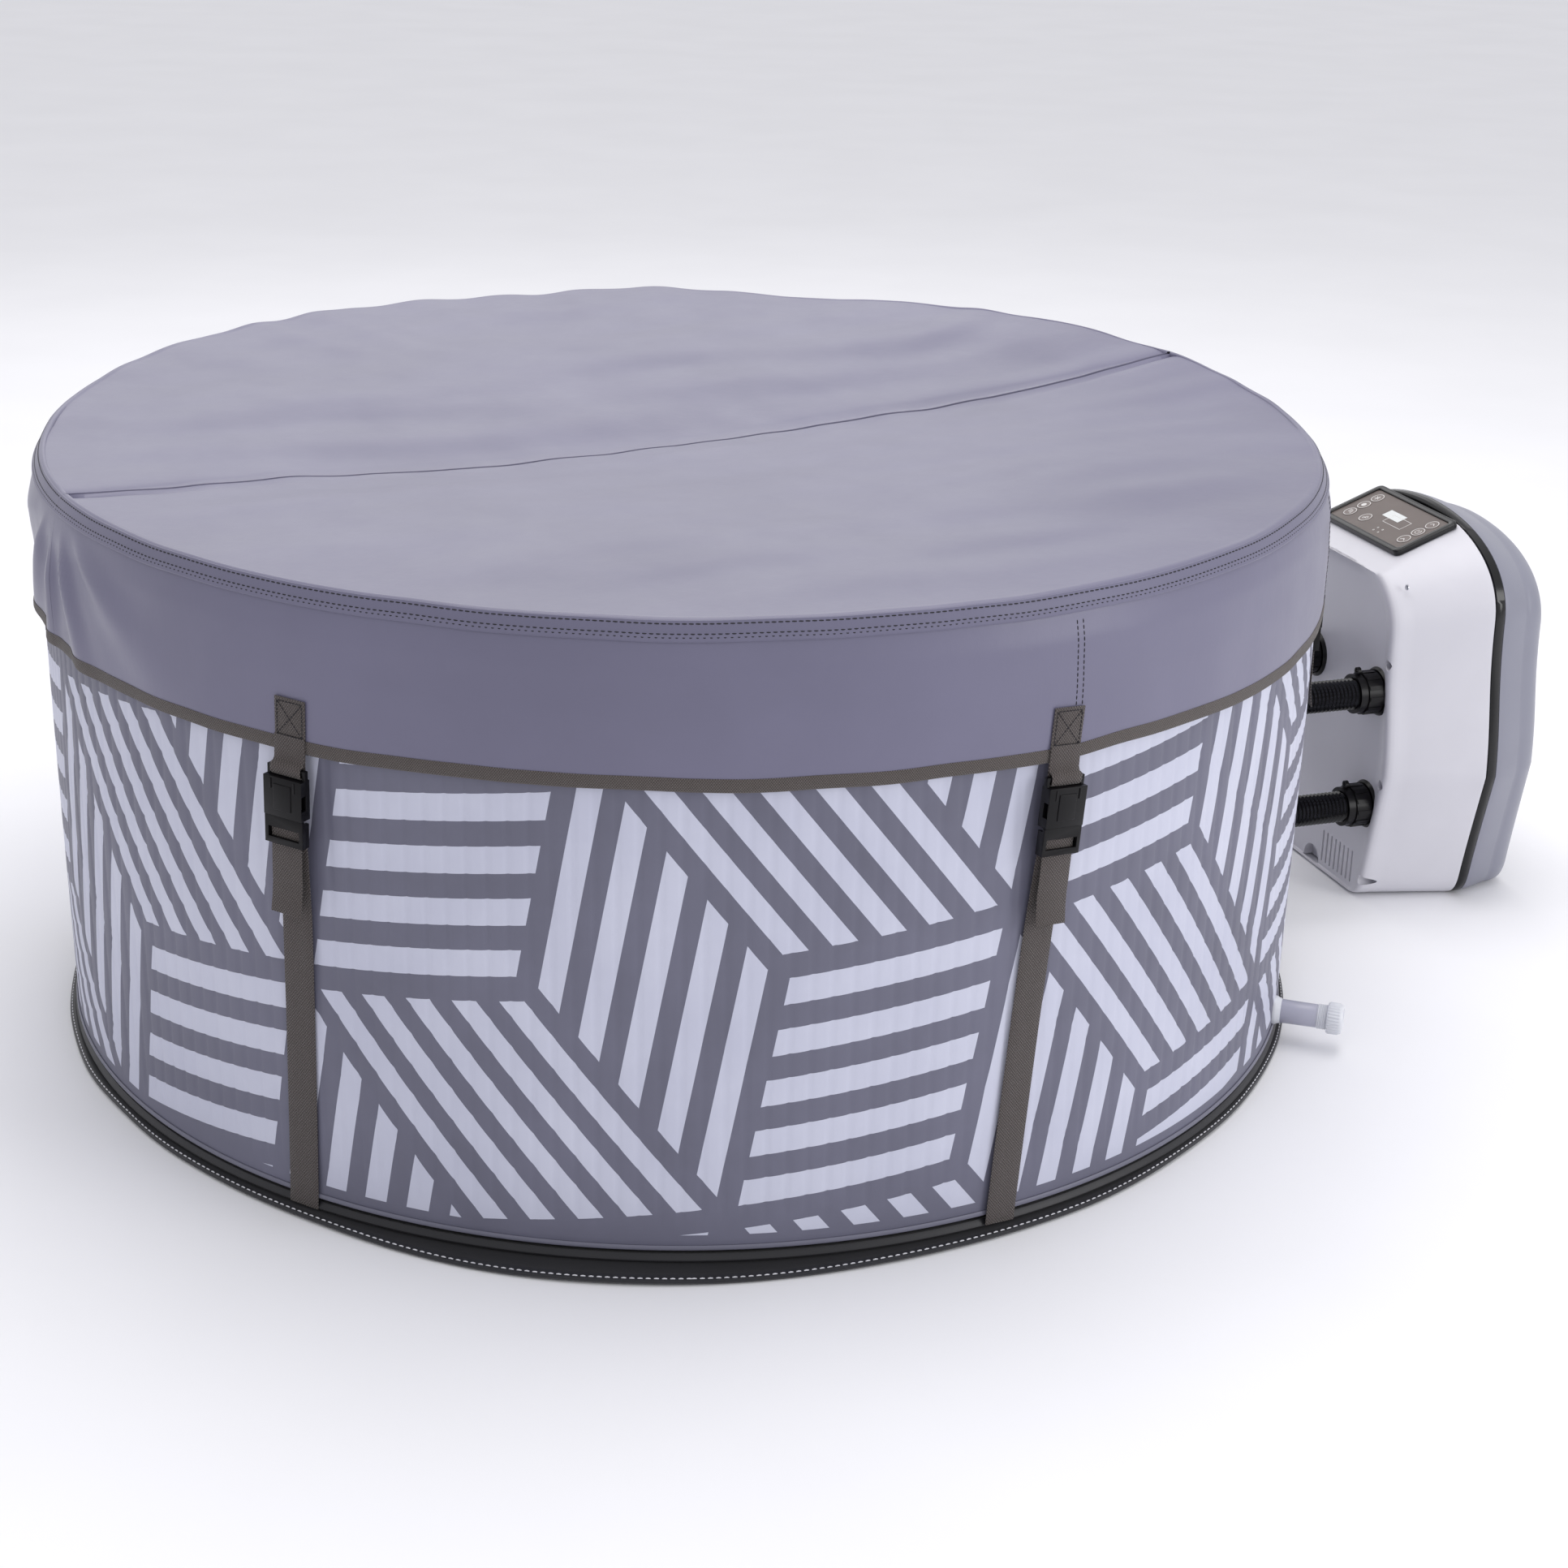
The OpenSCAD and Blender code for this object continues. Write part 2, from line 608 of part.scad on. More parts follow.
module gasket_band() color("black") in_pump() difference() {
    loft([front_depth + gap, front_depth + 8 - gap], [1.5, 1.5]);
    loft([front_depth - 4, front_depth + 12], [9, 9]);
}

// Children stand on the panel's plane: +X up the slope, +Y across, +Z out of it
module on_panel() in_pump() translate([panel_front[0], 0, panel_front[1]]) rotate([0, -panel_slope, 0]) children();

module rounded_plate(d, w, r, h) {
    linear_extrude(height = h) union() {
        translate([r, -w / 2]) square([d - 2 * r, w]);
        translate([0, -w / 2 + r]) square([d, w - 2 * r]);
        for (x = [r, d - r]) for (y = [-w / 2 + r, w / 2 - r]) translate([x, y]) circle(r = r, $fn = 32);
    }
}

bezel = 9;                      // width of the panel's frame
module panel_bezel() color("black") on_panel() difference() {
    translate([0, 0, -5.6]) rounded_plate(panel_d, panel_w, 9, 9);
    translate([bezel, 0, -6.6]) rounded_plate(panel_d - 2 * bezel, panel_w - 2 * bezel, 5, 12);
}

function panel_x(v) = bezel + 5 + v * (panel_d - 2 * bezel - 10);
function panel_y(u) = (0.5 - u) * (panel_w - 2 * bezel - 10);

display_x = panel_x(0.62);
display_y = panel_y(0.51);
module control_panel() color("#57504e") on_panel() difference() {
    translate([bezel + 0.3, 0, -4.6])
        rounded_plate(panel_d - 2 * bezel - 0.6, panel_w - 2 * bezel - 0.6, 5, 5.6);
    translate([display_x - 9, display_y - 22, -0.4]) cube([18, 44, 4]);
    for (b = button_at) translate([panel_x(b[1]), panel_y(b[0]), -0.8]) cylinder(r = button_r + 0.3, h = 4);
}
module display_window() color("silver") on_panel()
    translate([display_x - 8.7, display_y - 21.7, -0.4]) cube([17.4, 43.4, 1.5]);

module button(i) color("dimgray") on_panel() translate([panel_x(button_at[i][1]), panel_y(button_at[i][0]), -0.1])
    cylinder(r = button_r, h = 1.5, $fn = 48);
module button_1() button(0);
module button_2() button(1);
module button_3() button(2);
module button_4() button(3);
module button_5() button(4);
module button_6() button(5);
module button_7() button(6);

module circuit_board() color("darkgreen") in_pump() translate([40, -80, 440]) cube([100, 160, 1.6]);

// Pipe from a socket's nose back to a depth, then sideways to a stop
module pipe(port, depth, stop) {
    y = port_y(port);
    translate([22, y, port[1]]) rotate([0, 90, 0]) cylinder(r = pipe_r, h = depth - 22);
    translate([depth, y, port[1]]) sphere(r = pipe_r);
    translate([depth, min(y, stop), port[1]]) rotate([-90, 0, 0]) cylinder(r = pipe_r, h = abs(stop - y));
}
pipe_r = 15;

module circulation_pump() color("dimgray") in_pump() {
    axis_z = ports[0][1] - 10;
    translate([95, 0, axis_z]) rotate([90, 0, 0]) {
        translate([0, 0, -75]) cylinder(r = 46, h = 130);
        translate([0, 0, 54]) cylinder(r = 56, h = 30);
        translate([-20, -axis_z + 14, -60]) cube([40, axis_z - 20, 100]);
    }
    pipe(ports[0], 95, -83);
}

heater_at = [212, 225];
module heater() color("silver") in_pump() {
    translate([heater_at[0], 20, heater_at[1]]) rotate([90, 0, 0]) {
        cylinder(r = 26, h = 180);
        for (z = [-8, 179.9]) translate([0, 0, z]) cylinder(r = 30, h = 8.1);
    }
    pipe(ports[1], heater_at[0] - 12, port_y(ports[1]) + 1);
    translate([heater_at[0] - 12, port_y(ports[1]), heater_at[1] + 20]) cylinder(r = pipe_r, h = ports[1][1] - heater_at[1] - 20);
}

module air_blower() color("gray") in_pump() {
    translate([90, 110, 250]) {
        cylinder(r = 50, h = 55);
        translate([0, 0, 54.9]) cylinder(r = 34, h = 50);
    }
    pipe(ports[2], 90, 90);
}

module shell_screws() color("silver") in_pump()
    for (s = screw_at) translate([screw_x, s[0], s[1]]) rotate([0, 90, 0]) {
        cylinder(r = 2.6, h = 2.5, $fn = 24);
        translate([0, 0, 2.4]) cylinder(r = 1.5, h = 12, $fn = 24);
    }

module cable_gland() color("black") in_pump() translate([unit_depth - 10, 60, 60]) rotate([0, 90, 0]) difference() {
    union() {
        cylinder(r = 8, h = 12);
        translate([0, 0, 10.4]) cylinder(r = 12, h = 5, $fn = 6);
        translate([0, 0, 15]) cylinder(r1 = 10, r2 = 8, h = 9);
    }
    translate([0, 0, -cut]) cylinder(r = 4.5, h = 40);
}

ground_mat();
base_skirt();
tub_floor();
tub_wall();
bubble_ring();
wall_fittings();
air_duct();
outlet_nozzle();
filter_housing();
filter_cartridge();
filter_cap();
hoses();
hose_clamps();
hose_seals();
inlet_nut();
outlet_nut();
air_nut();
pump_sockets();
drain_spout();
drain_cap();
wall_valve();
wall_valve_cap();
cover_top_front();
cover_top_rear();
cover_skirt_front();
cover_skirt_rear();
hem_front();
hem_rear();
pad_front();
pad_rear();
lower_straps();
cover_tabs_front();
cover_tabs_rear();
buckle_sockets_front();
buckle_sockets_rear();
buckle_plug_1();
buckle_plug_2();
buckle_plug_3();
buckle_plug_4();
buckle_plug_5();
buckle_plug_6();
front_shell();
rear_shell();
gasket_band();
panel_bezel();
control_panel();
display_window();
button_1();
button_2();
button_3();
button_4();
button_5();
button_6();
button_7();
circuit_board();
circulation_pump();
heater();
air_blower();
shell_screws();
cable_gland();
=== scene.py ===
"""Looks of the round inflatable hot tub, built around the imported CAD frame. Metres, +Z up."""

from math import asin, atan2, cos, degrees, exp, hypot, pi, radians, sin, tan

import bmesh
import bpy
import numpy as np
from mathutils import Matrix, Vector, noise


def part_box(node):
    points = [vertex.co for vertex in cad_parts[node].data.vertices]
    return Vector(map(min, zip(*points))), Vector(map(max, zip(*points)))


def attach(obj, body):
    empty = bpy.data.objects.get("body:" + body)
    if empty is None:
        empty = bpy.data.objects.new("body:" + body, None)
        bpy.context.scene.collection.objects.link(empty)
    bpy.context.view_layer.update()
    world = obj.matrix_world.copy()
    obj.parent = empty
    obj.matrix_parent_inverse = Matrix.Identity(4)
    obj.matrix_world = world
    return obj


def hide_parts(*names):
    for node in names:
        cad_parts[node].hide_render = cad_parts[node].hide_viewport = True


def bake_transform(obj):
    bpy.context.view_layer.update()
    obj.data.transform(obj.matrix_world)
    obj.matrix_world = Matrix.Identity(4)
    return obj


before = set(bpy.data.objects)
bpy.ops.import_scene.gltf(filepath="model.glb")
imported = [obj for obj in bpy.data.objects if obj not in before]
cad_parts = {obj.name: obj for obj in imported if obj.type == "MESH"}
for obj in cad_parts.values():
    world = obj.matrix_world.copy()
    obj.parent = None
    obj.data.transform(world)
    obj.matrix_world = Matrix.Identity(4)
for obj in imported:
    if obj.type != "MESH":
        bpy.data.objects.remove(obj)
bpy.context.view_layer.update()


def linked(name, data):
    """A new object in the scene."""
    thing = bpy.data.objects.new(name, data)
    bpy.context.scene.collection.objects.link(thing)
    return thing


def shift_by(x, y, z):
    return Matrix.Translation((x, y, z))


def turn_by(angle, axis):
    return Matrix.Rotation(radians(angle), 4, axis)


# ---------- camera ----------
def make_camera():
    """The view from in front of the tub, a little above it."""
    yaw, pitch, roll = radians(3.165), radians(21.6), radians(1.304)
    forward = Vector((sin(yaw) * cos(pitch), cos(yaw) * cos(pitch), -sin(pitch)))
    right = Vector((cos(yaw), -sin(yaw), 0))
    up = right.cross(forward)
    right_rolled = cos(roll) * right + sin(roll) * up
    up_rolled = cos(roll) * up - sin(roll) * right
    data = bpy.data.cameras.new("camera")
    data.sensor_width = 36
    data.lens = 59.63
    camera = linked("camera", data)
    turn = Matrix((right_rolled, up_rolled, -forward)).transposed()
    camera.matrix_world = shift_by(-0.0466, -3.317, 1.568) @ turn.to_4x4()
    bpy.context.scene.camera = camera


make_camera()

# ---------- driving sizes, in metres ----------
WALL_R = 0.8225
WALL_IN = 0.7225
WALL_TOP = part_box("tub_wall")[1].z
FOLD = radians(27.8)
FOLD_OFFSET = 0.020
SEAM_Z = 0.755
SKIRT_R = 0.8315
HEM_Z = 0.575
PAD_R = 0.795
STRAP_AZ = [-31, 28.3, 88, 148, -152, -92]
STRAP_LEAN = [-2, -4.5, 0, 0, 0, 0]
LEAN_Z = 0.559
WEB_W = 0.040
WEB_T = 0.0016
PUMP = turn_by(16, "Z") @ shift_by(1.022, 0.060, 0)
UNIT_H = 0.562
UNIT_DEPTH = 0.248
PANEL_X, PANEL_Z = 0.034, 0.515
PANEL_SLOPE = 21
PANEL = PUMP @ shift_by(PANEL_X, 0, PANEL_Z) @ turn_by(-PANEL_SLOPE, "Y")


# ---------- small helpers ----------
def srgb(r, g, b):
    """A colour from 0-255 screen values, as linear RGBA."""
    def linear(c):
        c /= 255
        return c / 12.92 if c <= 0.04045 else ((c + 0.055) / 1.055) ** 2.4
    return (linear(r), linear(g), linear(b), 1)


def smooth(a, b, x):
    t = min(1, max(0, (x - a) / (b - a)))
    return t * t * (3 - 2 * t)


def lerp(a, b, t):
    return a + (b - a) * t


def at_az(az, r, z):
    """The point at an angle from -Y towards +X, at a radius and a height."""
    a = radians(az)
    return Vector((r * sin(a), -r * cos(a), z))


def closed_mesh(name, verts, faces):
    """A mesh whose faces all look outwards."""
    mesh = bpy.data.meshes.new(name)
    mesh.from_pydata([tuple(v) for v in verts], [], faces)
    mesh.validate()
    work = bmesh.new()
    work.from_mesh(mesh)
    bmesh.ops.recalc_face_normals(work, faces=work.faces)
    work.to_mesh(mesh)
    work.free()
    return mesh


def shaded_piece(name, mesh, material, body, replaces, sharp):
    """A piece that rides on a body. A body of None leaves it free, for a blend."""
    mesh.polygons.foreach_set("use_smooth", [True] * len(mesh.polygons))
    mesh.set_sharp_from_angle(angle=radians(sharp))
    mesh.materials.append(material)
    piece = linked(name, mesh)
    if replaces:
        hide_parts(*replaces)
    if body:
        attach(piece, body)
    return piece


def mesh_piece(name, verts, faces, material, slot, body="tub", replaces=(), sharp=35):
    return shaded_piece(name, closed_mesh(name, verts, faces), material, body, replaces, sharp)


def grid_faces(rows, columns, closed=False):
    """Quads over a grid of rows x columns points, joined round the columns if closed."""
    faces = []
    for i in range(rows - 1):
        for j in range(columns if closed else columns - 1):
            k = (j + 1) % columns
            faces.append((i * columns + j, i * columns + k, (i + 1) * columns + k, (i + 1) * columns + j))
    return faces


def loop_faces(rows, columns):
    """Quads over a grid that closes both ways, as round the tub."""
    faces = grid_faces(rows, columns, closed=True)
    last = (rows - 1) * columns
    return faces + [(last + j, last + (j + 1) % columns, (j + 1) % columns, j) for j in range(columns)]


def sheet_solid(rows, thickness):
    """Points and faces of a closed thin sheet: a grid of points, and the same grid moved inwards."""
    grid = np.array([[tuple(p) for p in row] for row in rows], float)
    du = np.gradient(grid, axis=0)
    dv = np.gradient(grid, axis=1)
    normal = np.cross(dv, du)
    length = np.linalg.norm(normal, axis=2, keepdims=True)
    fallback = np.zeros_like(normal)
    fallback[..., 2] = 1
    normal = np.where(length > 1e-10, normal / np.maximum(length, 1e-12), fallback)
    n, m = grid.shape[:2]
    inner = grid - normal * thickness
    verts = np.concatenate([grid.reshape(-1, 3), inner.reshape(-1, 3)])
    faces = grid_faces(n, m)
    half = n * m
    faces += [tuple(half + k for k in reversed(f)) for f in grid_faces(n, m)]
    rim = [j for j in range(m)] + [i * m + m - 1 for i in range(1, n)]
    rim += [(n - 1) * m + j for j in range(m - 2, -1, -1)] + [i * m for i in range(n - 2, 0, -1)]
    for a, b in zip(rim, rim[1:] + rim[:1]):
        faces.append((b, a, half + a, half + b))
    return verts, faces


def tube_rings(rings):
    """A closed solid through equal rings of points, capped at both ends."""
    n = len(rings[0])
    verts = [p for ring in rings for p in ring]
    faces = grid_faces(len(rings), n, closed=True)
    faces.append(tuple(range(n)))
    faces.append(tuple((len(rings) - 1) * n + k for k in reversed(range(n))))
    return verts, faces


def turned(profile, matrix, segments=96, ribs=0, depth=0.0):
    """A turned solid from (radius, height) points; the ribs raise those that carry a third value."""
    rings = []
    for r, h, *fluted in profile:
        ring = []
        for k in range(segments):
            a = 2 * pi * k / segments
            grow = depth * (0.5 + 0.5 * cos(ribs * a)) if fluted else 0
            ring.append(matrix @ Vector(((r + grow) * cos(a), (r + grow) * sin(a), h)))
        rings.append(ring)
    return tube_rings(rings)


class Thread:
    """Stitches, gathered as short raised dashes in one mesh."""

    def __init__(self):
        self.verts = []
        self.faces = []

    def run(self, path, normals, stitch, gap, width, height):
        """Dashes along a path. A gap follows each, and each stands along its own normal."""
        path = [Vector(p) for p in path]
        lengths = [0.0]
        for a, b in zip(path, path[1:]):
            lengths.append(lengths[-1] + (b - a).length)
        place = 0.0
        k = 0
        while place + stitch < lengths[-1]:
            ends = []
            for s in (place, place + stitch):
                while lengths[k + 1] < s:
                    k += 1
                t = (s - lengths[k]) / max(lengths[k + 1] - lengths[k], 1e-9)
                normal = Vector(normals[k]).lerp(Vector(normals[k + 1]), t)
                ends.append((path[k].lerp(path[k + 1], t), normal))
            self.dash(ends, width, height)
            place += stitch + gap

    def dash(self, ends, width, height):
        (a, na), (b, nb) = ends
        along = (b - a).normalized()
        side = along.cross(na).normalized() * width / 2
        first = len(self.verts)
        middle = (a + b) / 2
        raised = (na + nb) / 2
        for point, out in ((a, na * 0.1), (middle, raised), (b, nb * 0.1)):
            top = out.normalized() * height if point is middle else out * height
            self.verts += [point - side - na * 0.0004, point - side * 0.5 + top,
                           point + side * 0.5 + top, point + side - na * 0.0004]
        for k in (0, 4):
            for j in range(4):
                i = (j + 1) % 4
                self.faces.append((first + k + j, first + k + i, first + k + 4 + i, first + k + 4 + j))
        self.faces.append((first + 3, first + 2, first + 1, first))
        self.faces.append((first + 8, first + 9, first + 10, first + 11))

    def piece(self, name, material, slot, body):
        return mesh_piece(name, self.verts, self.faces, material, slot, body)


# ---------- materials ----------
class Nodes:
    """A material's node tree, with short calls for what this file uses."""

    def __init__(self, name):
        self.material = bpy.data.materials.new(name)
        self.material.use_nodes = True
        self.tree = self.material.node_tree
        self.shader = self.tree.nodes["Principled BSDF"]
        self.point = self.tree.nodes.new("ShaderNodeTexCoord").outputs["Object"]

    def link(self, a, b):
        self.tree.links.new(a, b)

    def node(self, kind, **values):
        """A new node with some of its sockets set."""
        node = self.tree.nodes.new("ShaderNode" + kind)
        for name, value in values.items():
            node.inputs[name].default_value = value
        return node

    def math(self, operation, a, b=None, c=None):
        node = self.node("Math")
        node.operation = operation
        for k, value in enumerate((a, b, c)):
            if value is None:
                continue
            if isinstance(value, (int, float)):
                node.inputs[k].default_value = value
            else:
                self.link(value, node.inputs[k])
        return node.outputs[0]

    def add(self, a, b):
        return self.math("ADD", a, b)

    def sub(self, a, b):
        return self.math("SUBTRACT", a, b)

    def mul(self, a, b):
        return self.math("MULTIPLY", a, b)

    def wrap(self, a, b):
        return self.math("FLOORED_MODULO", a, b)

    def less(self, a, b):
        return self.math("LESS_THAN", a, b)

    def more(self, a, b):
        return self.math("GREATER_THAN", a, b)

    def axes(self):
        """X, Y and Z of the point, and its angle from -Y towards +X."""
        split = self.node("SeparateXYZ")
        self.link(self.point, split.inputs[0])
        x, y, z = split.outputs
        return x, y, z, self.math("ARCTAN2", x, self.mul(y, -1))

    def noise(self, scale, detail=3, roughness=0.5, stretch=None):
        node = self.node("TexNoise", Scale=scale, Detail=detail, Roughness=roughness)
        point = self.point
        if stretch:
            mapping = self.node("Mapping", Scale=stretch)
            self.link(self.point, mapping.inputs["Vector"])
            point = mapping.outputs[0]
        self.link(point, node.inputs["Vector"])
        return node.outputs["Fac"]

    def voronoi(self, scale):
        node = self.node("TexVoronoi", Scale=scale)
        self.link(self.point, node.inputs["Vector"])
        return node.outputs["Distance"]

    def ramp(self, value, stops):
        """A colour ramp through (place, colour) stops."""
        node = self.node("ValToRGB")
        self.link(value, node.inputs[0])
        elements = node.color_ramp.elements
        elements[0].position, elements[0].color = stops[0]
        elements[1].position, elements[1].color = stops[-1]
        for place, colour in stops[1:-1]:
            elements.new(place).color = colour
        return node.outputs[0]

    def mix(self, factor, a, b):
        node = self.node("Mix")
        node.data_type = "RGBA"
        self.link(factor, node.inputs[0])
        for value, socket in ((a, node.inputs[6]), (b, node.inputs[7])):
            if isinstance(value, tuple):
                socket.default_value = value
            else:
                self.link(value, socket)
        return node.outputs[2]

    def span(self, value, low, high):
        """Maps 0-1 to low-high."""
        return self.math("MULTIPLY_ADD", value, high - low, low)

    def bump(self, height, strength, distance, below=None):
        node = self.node("Bump", Strength=strength, Distance=distance)
        self.link(height, node.inputs["Height"])
        if below is not None:
            self.link(below, node.inputs["Normal"])
        self.link(node.outputs[0], self.shader.inputs["Normal"])
        return node.outputs[0]

    def colour(self, socket):
        self.link(socket, self.shader.inputs["Base Color"])

    def rough(self, socket):
        self.link(socket, self.shader.inputs["Roughness"])

    def set(self, **values):
        for name, value in values.items():
            self.shader.inputs[name.replace("_", " ")].default_value = value
        return self.material


def shade(colour, factor):
    return tuple(c * factor for c in colour[:3]) + (1,)


def plastic(name, colour, rough=0.35, grain=900, depth=0.00006, coat=0.0, spread=0.08, shine=0.5):
    """Moulded plastic: fine spark texture, faint flow mottling and scuffed gloss."""
    n = Nodes(name)
    n.colour(n.ramp(n.noise(14, 4), [(0.3, shade(colour, 1 - spread)), (0.7, shade(colour, 1 + spread))]))
    n.rough(n.span(n.noise(38, 5, 0.6), rough - 0.06, rough + 0.08))
    n.bump(n.noise(grain, 2), 0.35, depth)
    return n.set(Coat_Weight=coat, Coat_Roughness=0.12, Specular_IOR_Level=shine)


def vinyl(name, colour, rough=0.40):
    """Coated cover fabric: leathery grain over a faint base weave, with rubbed patches."""
    n = Nodes(name)
    broad = n.noise(3.2, 5, 0.55)
    n.colour(n.ramp(broad, [(0.32, shade(colour, 0.93)), (0.52, colour), (0.72, shade(colour, 1.06))]))
    n.rough(n.span(n.noise(9, 6, 0.65), rough - 0.07, rough + 0.12))
    crease = n.bump(n.noise(7, 6, 0.62, (1, 1, 0.55)), 0.30, 0.0035)
    grain = n.bump(n.voronoi(1300), 0.12, 0.00015, crease)
    n.bump(n.noise(700, 2), 0.18, 0.00018, grain)
    return n.set(Sheen_Weight=0.12, Sheen_Roughness=0.5, Specular_IOR_Level=0.45)


def wall_print():
    """Drop-stitch PVC, printed with rhombic patches of parallel stripes that meet in stars."""
    n = Nodes("wall_print")
    columns, rise, patch_h, lean, stripes, border = 19, 2, 0.300, 0.19, 5, 0.05
    corner_arc, corner_z = 0.035, 0.06
    stripe_half, print_foot, inner_limit = 0.26, 0.040, 0.65
    patch_w = 2 * pi * WALL_R / columns
    x, y, z, angle = n.axes()
    arc = n.math("MULTIPLY_ADD", angle, WALL_R, -corner_arc)
    slope = -rise * patch_h / (2 * pi * WALL_R)
    level = n.math("MULTIPLY_ADD", arc, slope, n.sub(z, corner_z))
    u = n.math("DIVIDE", n.math("MULTIPLY_ADD", level, -lean, arc), patch_w)
    v = n.math("DIVIDE", level, patch_h)
    fu, fv = n.wrap(u, 1), n.wrap(v, 1)
    up = n.less(n.add(fu, fv), 1)

    def choose(test, yes, no):
        return n.add(n.mul(yes, test), n.mul(no, n.sub(1, test)))

    a = choose(up, fu, n.sub(1, fu))
    b = choose(up, fv, n.sub(1, fv))
    c = n.sub(1, n.add(a, b))
    order = n.math("MULTIPLY_ADD", n.math("FLOOR", v), 2, n.math("FLOOR", u))
    order = n.wrap(n.add(order, 0.5), 3)
    star_c = n.less(order, 1)
    second = n.mul(n.more(order, 1), n.less(order, 2))
    third = n.more(order, 2)
    star_b = choose(up, second, third)
    star_a = choose(up, third, second)

    def pick(at_a, at_b, at_c):
        total = n.add(n.mul(at_a, star_a), n.mul(at_b, star_b))
        return n.add(total, n.mul(at_c, star_c))

    across = pick(c, a, b)
    ends = pick(b, c, a)
    phase = n.wrap(n.mul(across, stripes), 1)
    stripe = n.less(n.math("ABSOLUTE", n.sub(phase, 0.5)), stripe_half)
    inside = n.more(ends, border)
    above = n.more(z, print_foot)
    outer_side = n.more(n.add(n.mul(x, x), n.mul(y, y)), inner_limit)
    painted = n.mul(n.mul(stripe, inside), n.mul(above, outer_side))
    speckle = n.noise(5, 5, 0.6)
    dark = n.ramp(speckle, [(0.3, srgb(97, 97, 113)), (0.7, srgb(108, 108, 126))])
    pale = n.ramp(speckle, [(0.3, srgb(188, 190, 208)), (0.7, srgb(200, 202, 218))])
    n.colour(n.mix(painted, dark, pale))
    n.rough(n.span(n.noise(30, 4, 0.6), 0.38, 0.52))
    wave = n.bump(n.noise(24, 4, 0.55, (1, 1, 0.4)), 0.25, 0.0012)
    n.bump(n.noise(1100, 2), 0.2, 0.00012, wave)
    return n.set(Specular_IOR_Level=0.4)


def webbing(name, colour, pitch):
    """Woven strap: ribs across the width and a finer crossing weave. Its colour carries painted shade in the
    weave's hollows and painted highlight on its crests.
    """
    n = Nodes(name)
    x, y, z, angle = n.axes()
    arc = n.mul(angle, WALL_R)
    rib = n.math("SINE", n.mul(z, 2 * pi / pitch))
    cross = n.math("SINE", n.mul(arc, 2 * pi / (pitch * 0.8)))
    weave = n.math("MULTIPLY_ADD", n.mul(rib, cross), 0.5, 0.5)
    # painted shade and highlight: the colour falls to 0.3 of the base in the weave's hollows and rises to 1.6
    # on its crests, following the bump height
    n.colour(n.ramp(weave, [(0.0, shade(colour, 0.3)), (0.5, colour), (1.0, shade(colour, 1.6))]))
    n.rough(n.span(n.noise(60, 4), 0.72, 0.88))
    ribs = n.bump(n.math("ABSOLUTE", rib), 0.7, 0.0009)
    n.bump(weave, 0.8, 0.0008, ribs)
    return n.set(Sheen_Weight=0.2, Sheen_Roughness=0.4)


def metal(name, colour, rough=0.28):
    n = Nodes(name)
    n.rough(n.span(n.noise(60, 5, 0.6, (1, 1, 6)), rough - 0.08, rough + 0.12))
    n.bump(n.noise(500, 2, 0.5, (1, 1, 8)), 0.15, 0.00005)
    n.colour(n.ramp(n.noise(20), [(0.3, shade(colour, 0.9)), (0.7, colour)]))
    return n.set(Metallic=1.0)


def foam(name, colour):
    """Closed-cell foam: small pores over soft unevenness."""
    n = Nodes(name)
    n.colour(n.ramp(n.noise(40, 5), [(0.3, shade(colour, 0.92)), (0.7, colour)]))
    pores = n.bump(n.voronoi(260), 0.5, 0.0008)
    n.bump(n.noise(30, 5), 0.3, 0.002, pores)
    return n.set(Roughness=0.9)


def board(name):
    """Green circuit board with copper lanes."""
    n = Nodes(name)
    lanes = n.voronoi(90)
    n.colour(n.ramp(lanes, [(0.0, srgb(30, 92, 58)), (0.75, srgb(24, 74, 48)), (0.95, srgb(150, 120, 60))]))
    n.bump(lanes, 0.2, 0.0003)
    return n.set(Roughness=0.4)


def glassy(name, colour):
    """Clear-fronted pale display."""
    n = Nodes(name)
    n.colour(n.ramp(n.noise(60, 2), [(0.3, shade(colour, 0.94)), (0.7, colour)]))
    n.bump(n.noise(300, 2), 0.05, 0.00005)
    return n.set(Roughness=0.12, Coat_Weight=0.8, Coat_Roughness=0.05)


